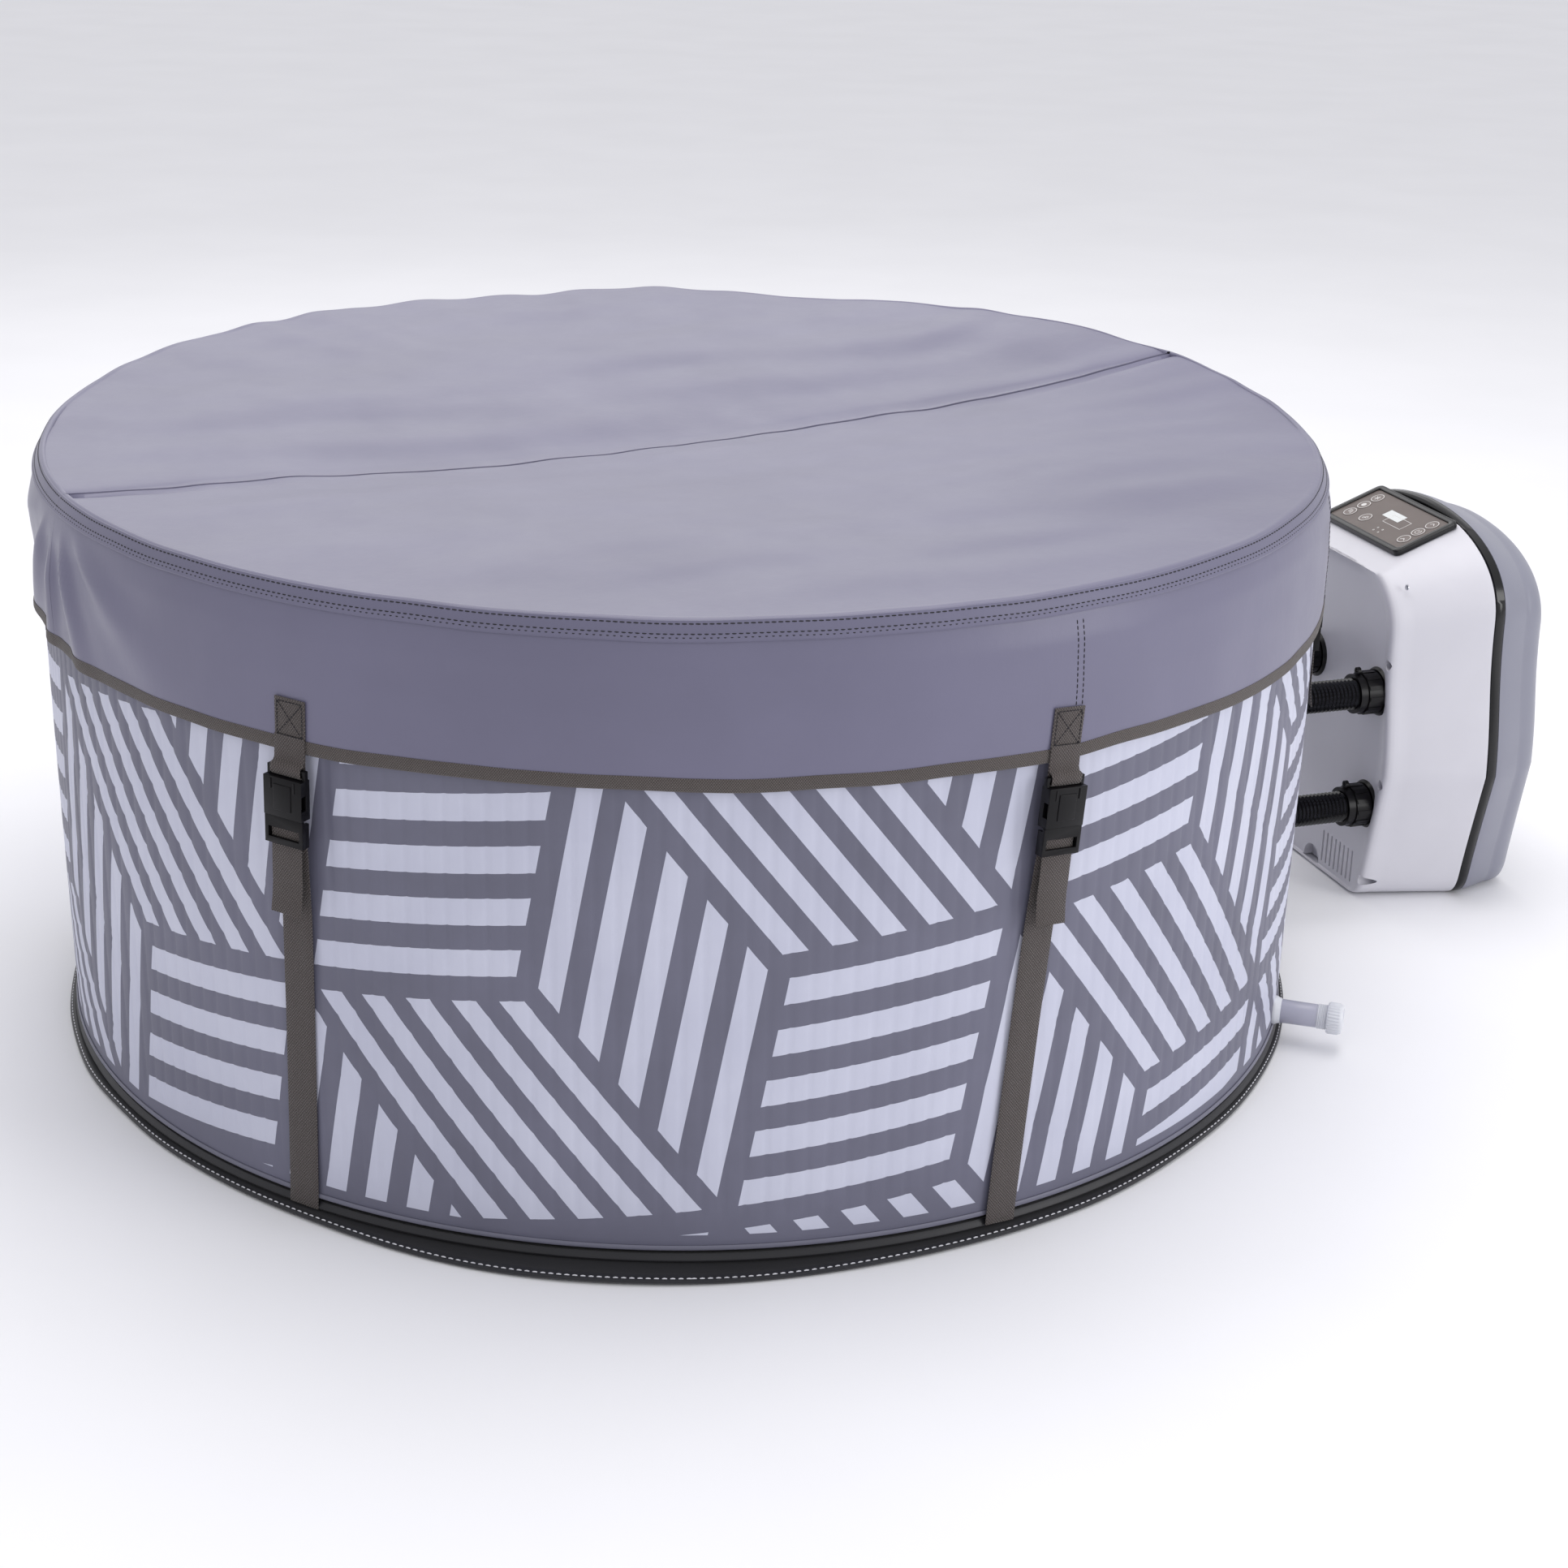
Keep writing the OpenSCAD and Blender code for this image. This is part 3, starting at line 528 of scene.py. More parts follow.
M = {
    "vinyl": vinyl("cover_vinyl", srgb(107, 105, 128), 0.36),
    "vinyl_seam": vinyl("cover_seam", srgb(101, 99, 122), 0.42),
    "print": wall_print(),
    "pvc": vinyl("liner_pvc", srgb(104, 104, 120), 0.45),
    "mat": vinyl("mat_pvc", srgb(22, 22, 28), 0.42),
    "web": webbing("strap_webbing", srgb(78, 71, 69), 0.0042),
    "binding": webbing("hem_binding", srgb(86, 79, 76), 0.0034),
    "thread": plastic("dark_thread", srgb(28, 26, 32), 0.8, 2000, 0.0001),
    "thread_pale": plastic("pale_thread", srgb(205, 205, 210), 0.8, 2000, 0.0001),
    "black": plastic("black_plastic", srgb(8, 7, 10), 0.30, shine=0.22),
    "gloss": plastic("gloss_black", srgb(7, 7, 9), 0.2, 400, 0.00003, 0.1, shine=0.4),
    "rubber": plastic("rubber", srgb(16, 16, 18), 0.5, 1400, 0.0001, shine=0.25),
    "light": plastic("shell_light", srgb(206, 205, 212), 0.38, 1500, 0.00009, 0.0, 0.015),
    "grey": plastic("shell_grey", srgb(130, 131, 144), 0.34, 1500, 0.00008, 0.0, 0.02),
    "white": plastic("white_plastic", srgb(212, 214, 220), 0.33, 1200, 0.00005, 0.0, 0.03),
    "lilac": plastic("drain_tube", srgb(168, 168, 184), 0.3, 900, 0.00005, 0.2, 0.03),
    "face": plastic("panel_face", srgb(96, 86, 82), 0.42, 1800, 0.00006),
    "key": plastic("key_face", srgb(112, 102, 98), 0.4, 1800, 0.00006),
    "sign": plastic("key_sign", srgb(214, 212, 210), 0.5, 1500, 0.00003, 0.0, 0.02),
    "display": glassy("display", srgb(196, 200, 200)),
    "steel": metal("steel", srgb(196, 198, 202)),
    "motor": metal("motor", srgb(90, 92, 96), 0.4),
    "foam": foam("foam", srgb(226, 226, 222)),
    "paper": foam("filter_paper", srgb(236, 236, 230)),
    "board": board("circuit_board"),
}

CAD_FINISH = {
    "pvc": ["tub_floor", "bubble_ring"],
    "black": ["wall_fittings", "wall_valve", "wall_valve_cap", "pump_sockets",
              "inlet_nut", "outlet_nut", "air_nut", "cable_gland"],
    "gloss": ["hoses"],
    "rubber": ["hose_seals"],
    "white": ["outlet_nozzle", "filter_housing", "filter_cap", "air_duct"],
    "paper": ["filter_cartridge"],
    "face": ["control_panel"],
    "display": ["display_window"],
    "key": [f"button_{k}" for k in range(1, 8)],
    "board": ["circuit_board"],
    "motor": ["circulation_pump", "air_blower"],
    "steel": ["heater", "hose_clamps"],
}


def paint(node, material):
    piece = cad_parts[node]
    if not piece.material_slots:
        piece.data.materials.append(material)
    for place in piece.material_slots:
        place.material = material


for finish, members in CAD_FINISH.items():
    for member in members:
        paint(member, M[finish])


# ---------- wall ----------
FURROWS = 222
FURROW_PITCH = 2 * pi * WALL_R / FURROWS
RING_COLUMNS = 720


def dimple(arc, z):
    """Depth of the drop-stitch pattern: narrow upright furrows with a small pucker at each thread."""
    u = (arc / FURROW_PITCH) % 1
    furrow = exp(-((u - 0.5) / 0.13) ** 2)
    pucker = 0.5 + 0.5 * cos(2 * pi * z / 0.0125)
    edge = smooth(0.04, 0.08, z) * (1 - smooth(WALL_TOP - 0.05, WALL_TOP - 0.02, z))
    return (0.00085 * furrow + 0.0006 * furrow * pucker) * edge


def make_wall():
    """The inflated ring: a rounded section all round, furrowed outside."""
    columns = FURROWS * 6
    bulge = 0.0015
    outer = [lerp(0.034, WALL_TOP - 0.03, k / 106) for k in range(107)]
    profile = [(0.770, 0.0135), (0.800, 0.0135), (0.8135, 0.0145), (0.8205, 0.0195), (0.8228, 0.027)]
    profile += [(WALL_R + bulge * sin(pi * (z - 0.03) / 0.67), z) for z in outer]
    profile += [(0.8222, 0.678), (0.8205, 0.690), (0.8150, 0.6975), (0.800, 0.6995), (0.770, 0.7000),
                (0.745, 0.6995), (0.730, 0.6975), (0.7245, 0.690), (0.7228, 0.678)]
    profile += [(WALL_IN, lerp(0.66, 0.06, k / 20)) for k in range(21)]
    profile += [(0.7228, 0.027), (0.7245, 0.0195), (0.730, 0.0145), (0.745, 0.0135)]
    verts = []
    for r, z in profile:
        for j in range(columns):
            a = 2 * pi * j / columns
            depth = dimple(a * WALL_R, z) if r > 0.82 else 0
            verts.append(((r - depth) * sin(a), -(r - depth) * cos(a), z))
    faces = loop_faces(len(profile), columns)
    mesh_piece("wall", verts, faces, M["print"], "pvc_wall", "tub", ["tub_wall"], 60)


def ring_piece(name, section, material, slot, replaces=()):
    """A closed section swept round the tub."""
    verts = [at_az(360 * j / RING_COLUMNS, r, z) for r, z in section for j in range(RING_COLUMNS)]
    mesh_piece(name, verts, loop_faces(len(section), RING_COLUMNS), material, slot, "tub", replaces)


def make_foot():
    """Black band welded round the wall's foot, and the mat with its bound edge."""
    ring_piece("foot_band", [(0.8225, 0.0076), (0.8260, 0.0078), (0.8268, 0.0100), (0.8252, 0.0135),
                             (0.8225, 0.0165), (0.8190, 0.0150), (0.8100, 0.0128), (0.735, 0.0125),
                             (0.735, 0.0084), (0.79, 0.0068)],
               M["mat"], "pvc_dark", ["base_skirt"])
    ring_piece("foot_weld", [(0.8249, 0.0222), (0.8252, 0.0235), (0.8248, 0.0262), (0.8238, 0.0275),
                             (0.8222, 0.0265), (0.8222, 0.0225)], M["pvc"], "pvc_dark")

    def lip(az, r):
        """How far the bound edge moves: it bulges out under the front, and waves a little all round."""
        front = exp(-(((az + 180) % 360 - 180 + 3) / 26) ** 2)
        spread = smooth(0.80, 0.834, r)
        wave = noise.noise(at_az(az, 1.9, 0)) * 0.005 + noise.noise(at_az(az, 5.2, 1)) * 0.0022
        return spread * (0.029 * front + wave), spread * 0.0015 * noise.noise(at_az(az, 4, 3))

    section = [(0.0, 0.0), (0.4, 0.0), (0.78, 0.0), (0.826, 0.0006), (0.8335, 0.0014), (0.8352, 0.0038),
               (0.8345, 0.0068), (0.8320, 0.0080), (0.8260, 0.0074), (0.8225, 0.0060), (0.78, 0.005),
               (0.4, 0.005), (0.0, 0.005)]
    verts = []
    for r, z in section:
        for j in range(RING_COLUMNS):
            az = 360 * j / RING_COLUMNS
            dr, dz = lip(az, r)
            verts.append(at_az(az, r + dr, z + dz))
    faces = grid_faces(len(section), RING_COLUMNS, closed=True)
    mesh_piece("mat", verts, faces, M["mat"], "pvc_dark", "tub", ["ground_mat"])
    thread = Thread()
    path, normals = [], []
    for j in range(1441):
        az = j / 4
        dr, dz = lip(az, 0.832)
        path.append(at_az(az, 0.8322 + dr, 0.0081 + dz))
        normals.append(Vector((0, 0, 1)))
    thread.run(path, normals, 0.0055, 0.0035, 0.0014, 0.0008)
    thread.piece("mat_stitches", M["thread_pale"], "webbing", "tub")


# ---------- cover ----------
def rim_height(az):
    """The cover's rim rides higher at the back, where the skirt pulls less."""
    back = cos(radians(az - 185))
    pucker = noise.noise(at_az(az, 3.4, 7)) * 0.0045 + noise.noise(at_az(az, 9.5, 2)) * 0.0026
    lift = smooth(-0.02, 1.0, back + 0.33)
    return SEAM_Z + 0.020 * lift + pucker * (0.4 + 1.5 * lift)


def az_of(x, y):
    return degrees(atan2(x, -y)) % 360


def fold_frame(x, y):
    """Distance along the fold line and behind it."""
    return (x * cos(FOLD) + y * sin(FOLD),
            -x * sin(FOLD) + y * cos(FOLD) - FOLD_OFFSET)


def fold_point(along, across):
    """X and Y at a distance along the fold's direction, and across it from the tub's middle."""
    return (along * cos(FOLD) - across * sin(FOLD),
            along * sin(FOLD) + across * cos(FOLD))


def half_arc(side, first, columns):
    """Angles round one half of the cover, from one end of the fold to the other."""
    first, last = (first, 180 - first) if side > 0 else (180 - first, 360 + first)
    return [(lerp(first, last, j / columns) + degrees(FOLD) + 90) % 360 for j in range(columns + 1)]


def top_height(x, y):
    """The cover's top: carried by its rim, sagging along the fold, with slack creases."""
    r = hypot(x, y)
    along, behind = fold_frame(x, y)
    share = min(1, r / 0.81)
    middle = SEAM_Z + 0.009 + 0.010 * smooth(-0.6, 0.7, y)
    rim = lerp(middle, rim_height(az_of(x, y)), smooth(0.55, 1, share))
    sag = 0.036 * (1 - (along / 0.83) ** 2) * exp(-(abs(behind) / 0.30) ** 1.3)
    dish = 0.010 * (1 - share ** 2)
    slack = noise.noise(Vector((along * 2.2, behind * 3.4, 0.4))) * 0.0085
    lines = noise.noise(Vector((along * 3.0 + behind * 2, behind * 12, 2.0))) * 0.0052
    near = exp(-(behind / 0.22) ** 2)
    pull = noise.noise(Vector((along * 14, behind * 5, 5.0))) * 0.0024 * near
    edge = smooth(0.03, 0.2, 1 - share)
    return rim - sag - dish + (slack + lines + pull) * (0.25 + 0.75 * edge)


SKIRT_DROP = [0, 0.003, 0.009, 0.022, 0.05, 0.10, 0.18]
SKIRT_OUT = [0.8075, 0.8125, 0.8160, 0.8212, 0.8275, 0.8305, 0.8312]
FOLD_ENDS = (-63.6, 118.8)


def hem_height(az):
    return HEM_Z + 0.0035 * noise.noise(at_az(az, 3.1, 4)) + 0.002 * noise.noise(at_az(az, 9, 4))


FAN_REACH = 0.6


def skirt_point(az, drop):
    """A point on the skirt, at a distance down from the rim, with folds fanning from the fold line's ends."""
    r = float(np.interp(drop, SKIRT_DROP, SKIRT_OUT))
    z = rim_height(az) - drop
    free = 1.0
    for strap in STRAP_AZ:
        free = min(free, smooth(2.5, 9, abs((az - strap + 180) % 360 - 180)))
    wave = noise.noise(at_az(az, 3.5, drop * 4)) * 0.0035 + noise.noise(at_az(az, 11, drop * 7)) * 0.0012
    move = wave * smooth(0.01, 0.08, drop) * free
    for end in FOLD_ENDS:
        arc = radians((az - end + 180) % 360 - 180) * SKIRT_R
        reach = hypot(arc, drop)
        if reach < FAN_REACH:
            spread = atan2(arc, drop + 0.02)
            sway = 1.2 * noise.noise(Vector((arc * 5, drop * 5, end)))
            crest = 0.5 + 0.5 * cos(spread * 11 + 0.8 + sway)
            fade = smooth(0.035, 0.11, reach) * exp(-(reach / 0.27) ** 2) * smooth(0.02, 0.07, drop)
            move += (0.0125 * crest ** 2 - 0.003) * fade * max(free, 0.3)
    return at_az(az, max(r + move, 0.8255 if drop > 0.06 else 0), z)


SKIRT_ROWS = 30


def half_rows(side, columns=420, top_rows=64):
    """Rows of points from the fold line to the rim and down the skirt. Side -1 is the front, 1 the rear."""
    offset = FOLD_OFFSET + side * 0.0034
    rim_azs = half_arc(side, degrees(asin(offset / SKIRT_OUT[0])), columns)
    skirt_azs = half_arc(side, degrees(asin(FOLD_OFFSET / SKIRT_R)) + side * 0.01, columns)
    rims = [at_az(az, SKIRT_OUT[0], 0) for az in rim_azs]
    rows = []
    for roll, back in ((0.018, 2.2), (0.008, 0.8), (0.0024, 0.25), (0, 0)):
        row = []
        for rim in rims:
            x, y = fold_point(fold_frame(rim.x, rim.y)[0], offset - side * 0.0004 + side * 0.001 * back)
            row.append(Vector((x, y, top_height(x, y) - roll)))
        rows.append(row)
    for i in range(1, top_rows):
        t = 1 - (1 - i / top_rows) ** 1.25
        row = []
        for rim in rims:
            along, behind = fold_frame(rim.x, rim.y)
            start_x, start_y = fold_point(along, offset)
            x, y = lerp(start_x, rim.x, t), lerp(start_y, rim.y, t)
            away = t * abs(behind + FOLD_OFFSET - offset)
            lip = 0.0055 * exp(-(away / 0.012) ** 1.4)
            row.append(Vector((x, y, top_height(x, y) - lip)))
        rows.append(row)
    for i in range(SKIRT_ROWS + 1):
        t = (i / SKIRT_ROWS) ** 1.6
        azs = rim_azs if i == 0 else skirt_azs
        row = [skirt_point(az, t * (rim_height(az) - hem_height(az))) for az in azs]
        if i == 0:
            row = [Vector((p.x, p.y, top_height(p.x, p.y) * 0.5 + p.z * 0.5)) for p in row]
        rows.append(row)
    return rows, skirt_azs


def normal_at(az, drop):
    a, b = skirt_point(az, max(0, drop - 0.003)), skirt_point(az, drop + 0.003)
    side = at_az(az + 0.1, 1, 0) - at_az(az - 0.1, 1, 0)
    out = side.cross(a - b)
    out.normalize()
    return out if out.dot(at_az(az, 1, 0)) > 0 else -out


def make_cover_half(side, tag, body):
    rows, azs = half_rows(side)
    cover = mesh_piece(f"cover_{tag}", *sheet_solid(rows, 0.0011), M["vinyl"], "cover_vinyl", body,
                       [f"cover_top_{tag}", f"cover_skirt_{tag}"], 70)
    hem = binding(f"hem_binding_{tag}", azs, body, [f"hem_{tag}"])
    seam = rim_seam(f"rim_seam_{tag}", azs, body)
    thread = Thread()
    fine = [lerp_az(azs, k / 1600) for k in range(1601)]
    for drop, out in ((0.0050, 0.0017), (0.0142, 0.0020), (0.0178, 0.0026)):
        thread.run([skirt_point(az, drop) + normal_at(az, drop) * out for az in fine],
                   [normal_at(az, drop) for az in fine], 0.0050, 0.0020, 0.0018, 0.0007)
    seams = [29.6, 75] if side < 0 else [122, 165, 210, 255]
    for az in seams:
        for shift in (-0.28, 0.28):
            drops = [0.03 + 0.0015 * k for k in range(98)]
            thread.run([skirt_point(az + shift, d) + normal_at(az + shift, d) * 0.0012 for d in drops],
                       [normal_at(az + shift, d) for d in drops], 0.0044, 0.0020, 0.0015, 0.0006)
    thread.piece(f"cover_stitches_{tag}", M["thread"], "webbing", body)


def lerp_az(azs, t):
    """The angle at a share of the way along a list of angles that may pass 360."""
    span = (azs[-1] - azs[0]) % 360
    return (azs[0] + span * t) % 360


def rim_seam(name, azs, body):
    """The folded band that joins top and skirt."""
    rows = []
    span = [lerp_az(azs, k / 900) for k in range(901)]
    for drop, out in ((0.0020, 0.0002), (0.0026, 0.0012), (0.0080, 0.0014), (0.0120, 0.0010),
                      (0.0170, 0.0022), (0.0208, 0.0030), (0.0216, 0.0022), (0.0212, 0.0003)):
        rows.append([skirt_point(az, drop) + normal_at(az, drop) * out for az in span])
    return mesh_piece(name, *sheet_solid(rows, 0.0006), M["vinyl_seam"], "cover_vinyl", body)


def binding(name, azs, body, replaces):
    """Woven tape folded over the skirt's lower edge."""
    span = [lerp_az(azs, k / 900) for k in range(901)]
    rows = []
    for up, out in ((0.0125, 0.0002), (0.0128, 0.0013), (0.008, 0.0018), (0.002, 0.0018), (-0.0012, 0.0012),
                    (-0.0022, 0.0), (-0.0012, -0.0018), (0.003, -0.0024), (0.012, -0.0022)):
        row = []
        for az in span:
            drop = rim_height(az) - hem_height(az) - up
            row.append(skirt_point(az, drop) + at_az(az, 1, 0) * out)
        rows.append(row)
    return mesh_piece(name, *sheet_solid(rows, 0.0006), M["binding"], "webbing", body, replaces)


def make_fold_strip():
    """The hinge strip under the two halves' edges."""
    rows = []
    for k in range(9):
        behind = lerp(-0.020, 0.020, k / 8)
        row = []
        for j in range(121):
            x, y = fold_point(lerp(-PAD_R, PAD_R, j / 120), FOLD_OFFSET + behind)
            row.append(Vector((x, y, top_height(x, y) - 0.0085 - 0.003 * exp(-(behind / 0.006) ** 2))))
        rows.append(row)
    strip = mesh_piece("fold_strip", *sheet_solid(rows, 0.001), M["vinyl_seam"], "cover_vinyl", None)
    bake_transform(strip)


def make_pad(side, tag, body):
    """Half-round foam pad with softened edges, in the space under the cover's top."""
    start = degrees(asin((FOLD_OFFSET + side * 0.004) / PAD_R))
    rim = [at_az(az, PAD_R, 0) for az in half_arc(side, start, 160)]
    chord = [rim[-1].lerp(rim[0], k / 80) for k in range(1, 80)]
    outline = rim + chord
    centre = sum(outline, Vector()) / len(outline)
    bottom = WALL_TOP + 0.0012

    def ring(inset, level):
        """One ring of the pad; level 0 is its underside and 1 its top."""
        points = []
        for p in outline:
            away = p - centre
            q = p - away.normalized() * min(inset, 0.6 * away.length)
            top = min(top_height(q.x, q.y) - 0.012, 0.741)
            points.append(Vector((q.x, q.y, lerp(bottom, top, level))))
        return points

    section = [(0.35, 0), (0.15, 0), (0.012, 0), (0.004, 0.06), (0.0, 0.22), (0.001, 0.5), (0.0, 0.78),
               (0.004, 0.94), (0.012, 1), (0.06, 1), (0.15, 1), (0.35, 1)]
    rows = [ring(inset, level) for inset, level in section]
    pad = mesh_piece(f"pad_{tag}_foam", *tube_rings(rows), M["foam"], "foam", body, [f"pad_{tag}"])


# ---------- straps and buckles ----------
HALVES = (("front", range(0, 3)), ("rear", range(3, 6)))


def strap_matrix(i):
    """From a strap's own frame (x out from the tub, y across it, z up) to the row frame."""
    turn = turn_by(STRAP_AZ[i] - 90, "Z")
    lean = turn_by(STRAP_LEAN[i], "X")
    lift = shift_by(0, 0, LEAN_Z)
    return turn @ lift @ lean @ lift.inverted()


def ribbon(line, matrix, wave=0.0):
    """Webbing along a line of (distance, height) points, as rings for a closed solid."""
    fine = []
    for (r0, z0), (r1, z1) in zip(line, line[1:]):
        steps = max(1, int(hypot(r1 - r0, z1 - z0) / 0.006))
        fine += [(lerp(r0, r1, k / steps), lerp(z0, z1, k / steps)) for k in range(steps)]
    fine.append(line[-1])
    rings = []
    for k, (r, z) in enumerate(fine):
        before, after = fine[max(0, k - 1)], fine[min(len(fine) - 1, k + 1)]
        along = Vector((after[0] - before[0], 0, after[1] - before[1])).normalized()
        out = Vector((along.z, 0, -along.x))
        shift = wave * noise.noise(Vector((z * 9, r * 3, 0.7)))
        section = []
        half, deep = WEB_W / 2, WEB_T / 2
        for y, n in ((-half, 0.3), (-half + 0.0012, 1), (-half * 0.4, 1.12), (half * 0.4, 1.12),
                     (half - 0.0012, 1), (half, 0.3), (half, -0.3), (half - 0.0012, -1),
                     (-half + 0.0012, -1), (-half, -0.3)):
            p = Vector((r + shift, y, z)) + out * deep * n
            section.append(matrix @ p)
        rings.append(section)
    return rings


def join_solids(solids):
    verts, faces = [], []
    for v, f in solids:
        first = len(verts)
        verts += [tuple(p) for p in v]
        faces += [tuple(first + k for k in face) for face in f]
    return verts, faces


LOWER_LINE = [(0.8268, 0.0085), (0.8262, 0.030), (0.8266, 0.25), (0.8285, 0.38), (0.8325, 0.45),
              (0.8346, 0.470), (0.8348, 0.4885), (0.8354, 0.4910), (0.8372, 0.4918), (0.8400, 0.4918),
              (0.8424, 0.4908), (0.8431, 0.4885), (0.8432, 0.470), (0.8436, 0.440), (0.8434, 0.420),
              (0.8448, 0.4040), (0.8476, 0.3860)]
TAB_LINE = [(0.8337, 0.632), (0.8338, 0.60), (0.8342, 0.575), (0.8350, 0.560), (0.8353, 0.552),
            (0.8362, 0.5482), (0.8388, 0.5468), (0.8416, 0.5470), (0.8437, 0.5490), (0.8441, 0.5530),
            (0.8438, 0.5572), (0.8418, 0.5592), (0.8385, 0.5600), (0.8362, 0.5640), (0.8356, 0.575),
            (0.8354, 0.590)]


def make_straps():
    solids = [tube_rings(ribbon(LOWER_LINE, strap_matrix(i), wave=0.0006)) for i in range(6)]
    mesh_piece("webbing_straps", *join_solids(solids), M["web"], "webbing", "tub", ["lower_straps"], 50)
    for tag, which in HALVES:
        solids = [tube_rings(ribbon(TAB_LINE, strap_matrix(i))) for i in which]
        body = f"cover_{tag}"
        mesh_piece(f"tabs_{tag}", *join_solids(solids), M["web"], "webbing", body, [f"cover_tabs_{tag}"], 50)
        thread = Thread()
        for i in which:
            matrix = strap_matrix(i)
            out = (matrix.to_3x3() @ Vector((1, 0, 0))).normalized()
            half, low, high = 0.0165, 0.590, 0.628
            corners = [(-half, low), (half, low), (half, high), (-half, high), (-half, low), (half, high)]
            for a, b in list(zip(corners, corners[1:])) + [((half, low), (-half, high))]:
                path = [matrix @ Vector((0.8357 if lerp(a[1], b[1], t) < 0.5905 else 0.8347,
                                         lerp(a[0], b[0], t), lerp(a[1], b[1], t)))
                        for t in (k / 20 for k in range(21))]
                thread.run(path, [out] * 21, 0.0036, 0.0010, 0.0014, 0.0007)
        thread.piece(f"tab_stitches_{tag}", M["thread"], "webbing", body)


def rounded_copy(node, name, radius, material, body):
    """A CAD node's shape with its hard edges rounded, standing in for the node."""
    work = bmesh.new()
    work.from_mesh(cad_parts[node].data)
    bmesh.ops.remove_doubles(work, verts=work.verts, dist=0.00002)
    bmesh.ops.dissolve_limit(work, angle_limit=radians(1), verts=work.verts, edges=work.edges)
    edges = [e for e in work.edges if len(e.link_faces) == 2 and e.calc_face_angle(0) > radians(50)]
    bmesh.ops.bevel(work, geom=edges, offset=radius, segments=2, affect="EDGES", profile=0.5,
                    clamp_overlap=True)
    bmesh.ops.triangulate(work, faces=[f for f in work.faces if len(f.verts) > 4])
    mesh = bpy.data.meshes.new(name)
    work.to_mesh(mesh)
    work.free()
    mesh.materials.clear()
    shaded_piece(name, mesh, material, body, [node], 40)


def rounded_box(size, radius, matrix):
    """A box with rounded edges, centred on its matrix."""
    work = bmesh.new()
    bmesh.ops.create_cube(work, size=1)
    bmesh.ops.scale(work, vec=size, verts=work.verts)
    bmesh.ops.bevel(work, geom=list(work.edges), offset=radius, segments=3, affect="EDGES", profile=0.5)
    verts = [matrix @ v.co for v in work.verts]
    faces = [tuple(v.index for v in f.verts) for f in work.faces]
    work.free()
    return verts, faces


def make_buckles():
    for tag, which in HALVES:
        body = f"cover_{tag}"
        rounded_copy(f"buckle_sockets_{tag}", f"sockets_{tag}", 0.0011, M["black"], body)
        solids = []
        for i in which:
            place = strap_matrix(i) @ shift_by(0.8500, 0, 0.5235)
            solids.append(rounded_box((0.0016, 0.023, 0.030), 0.0007, place))
            for y in (-0.0155, 0.0155):
                rib = strap_matrix(i) @ shift_by(0.8499, y, 0.538)
                solids.append(rounded_box((0.0012, 0.0022, 0.012), 0.0005, rib))
        mesh_piece(f"socket_relief_{tag}", *join_solids(solids), M["black"], "black_plastic", body)
    for i in range(6):
        node = f"buckle_plug_{i + 1}"
        rounded_copy(node, f"plug_{i + 1}", 0.0008, M["black"], node)


# ---------- pump unit ----------
CREASE = (0.245, 0.208)


def bezier(a, b, c, d, n):
    """The first n of n + 1 even steps along a curve with two handles."""
    points = []
    for t in (i / n for i in range(n)):
        u = 1 - t
        weights = u ** 3, 3 * u * u * t, 3 * u * t * t, t ** 3
        points.append(tuple(sum(w * p[k] for w, p in zip(weights, (a, b, c, d))) for k in (0, 1)))
    return points


def pump_outline():
    """The unit's outline at its seam: sideways place and height, once round."""
    half = bezier((0.168, 0), (0.190, 0), (0.204, 0.010), (0.209, 0.038), 10)
    half += bezier((0.209, 0.038), (0.218, 0.090), (0.232, 0.150), CREASE, 14)
    half += bezier(CREASE, (0.240, 0.300), (0.222, 0.330), (0.219, 0.440), 24)
    half += bezier((0.219, 0.440), (0.215, 0.520), (0.120, 0.560), (0, UNIT_H), 30)
    base = [(lerp(-0.168, 0.168, k / 12), 0) for k in range(1, 12)]
    left = [(-y, z) for y, z in reversed(half)]
    return half + [(0, UNIT_H)] + left + base


OUTLINE = pump_outline()
MID_Z = 0.260


def inset(point, t):
    y, z = point
    k = t / 0.300 if z > MID_Z else 0.08 * t / MID_Z
    return y * (1 - t / CREASE[0]), MID_Z + (z - MID_Z) * (1 - k)


def seat_height(x):
    """Height of the panel's seat at a depth."""
    slope = radians(PANEL_SLOPE)
    return PANEL_Z + (x - PANEL_X) * tan(slope) - 0.0060 / cos(slope)


def shell_rings(stations, seat=False):
    rings = []
    for x, t in stations:
        ring = []
        for point in OUTLINE:
            y, z = inset(point, t)
            if seat and x < 0.1405:
                z = min(z, seat_height(x))
            ring.append(PUMP @ Vector((x, y, z)))
        rings.append(ring)
    return rings


def cut_away(piece, solids):
    """Cuts closed solids out of a piece and applies the result."""
    cutter = linked("cutter", closed_mesh("cutter", *join_solids(solids)))
    modifier = piece.modifiers.new("cut", "BOOLEAN")
    modifier.operation = "DIFFERENCE"
    modifier.solver = "EXACT"
    modifier.object = cutter
    bpy.context.view_layer.update()
    result = bpy.data.meshes.new_from_object(piece.evaluated_get(bpy.context.evaluated_depsgraph_get()))
    piece.modifiers.clear()
    piece.data = result
    bpy.data.objects.remove(cutter)
    result.set_sharp_from_angle(angle=radians(35))


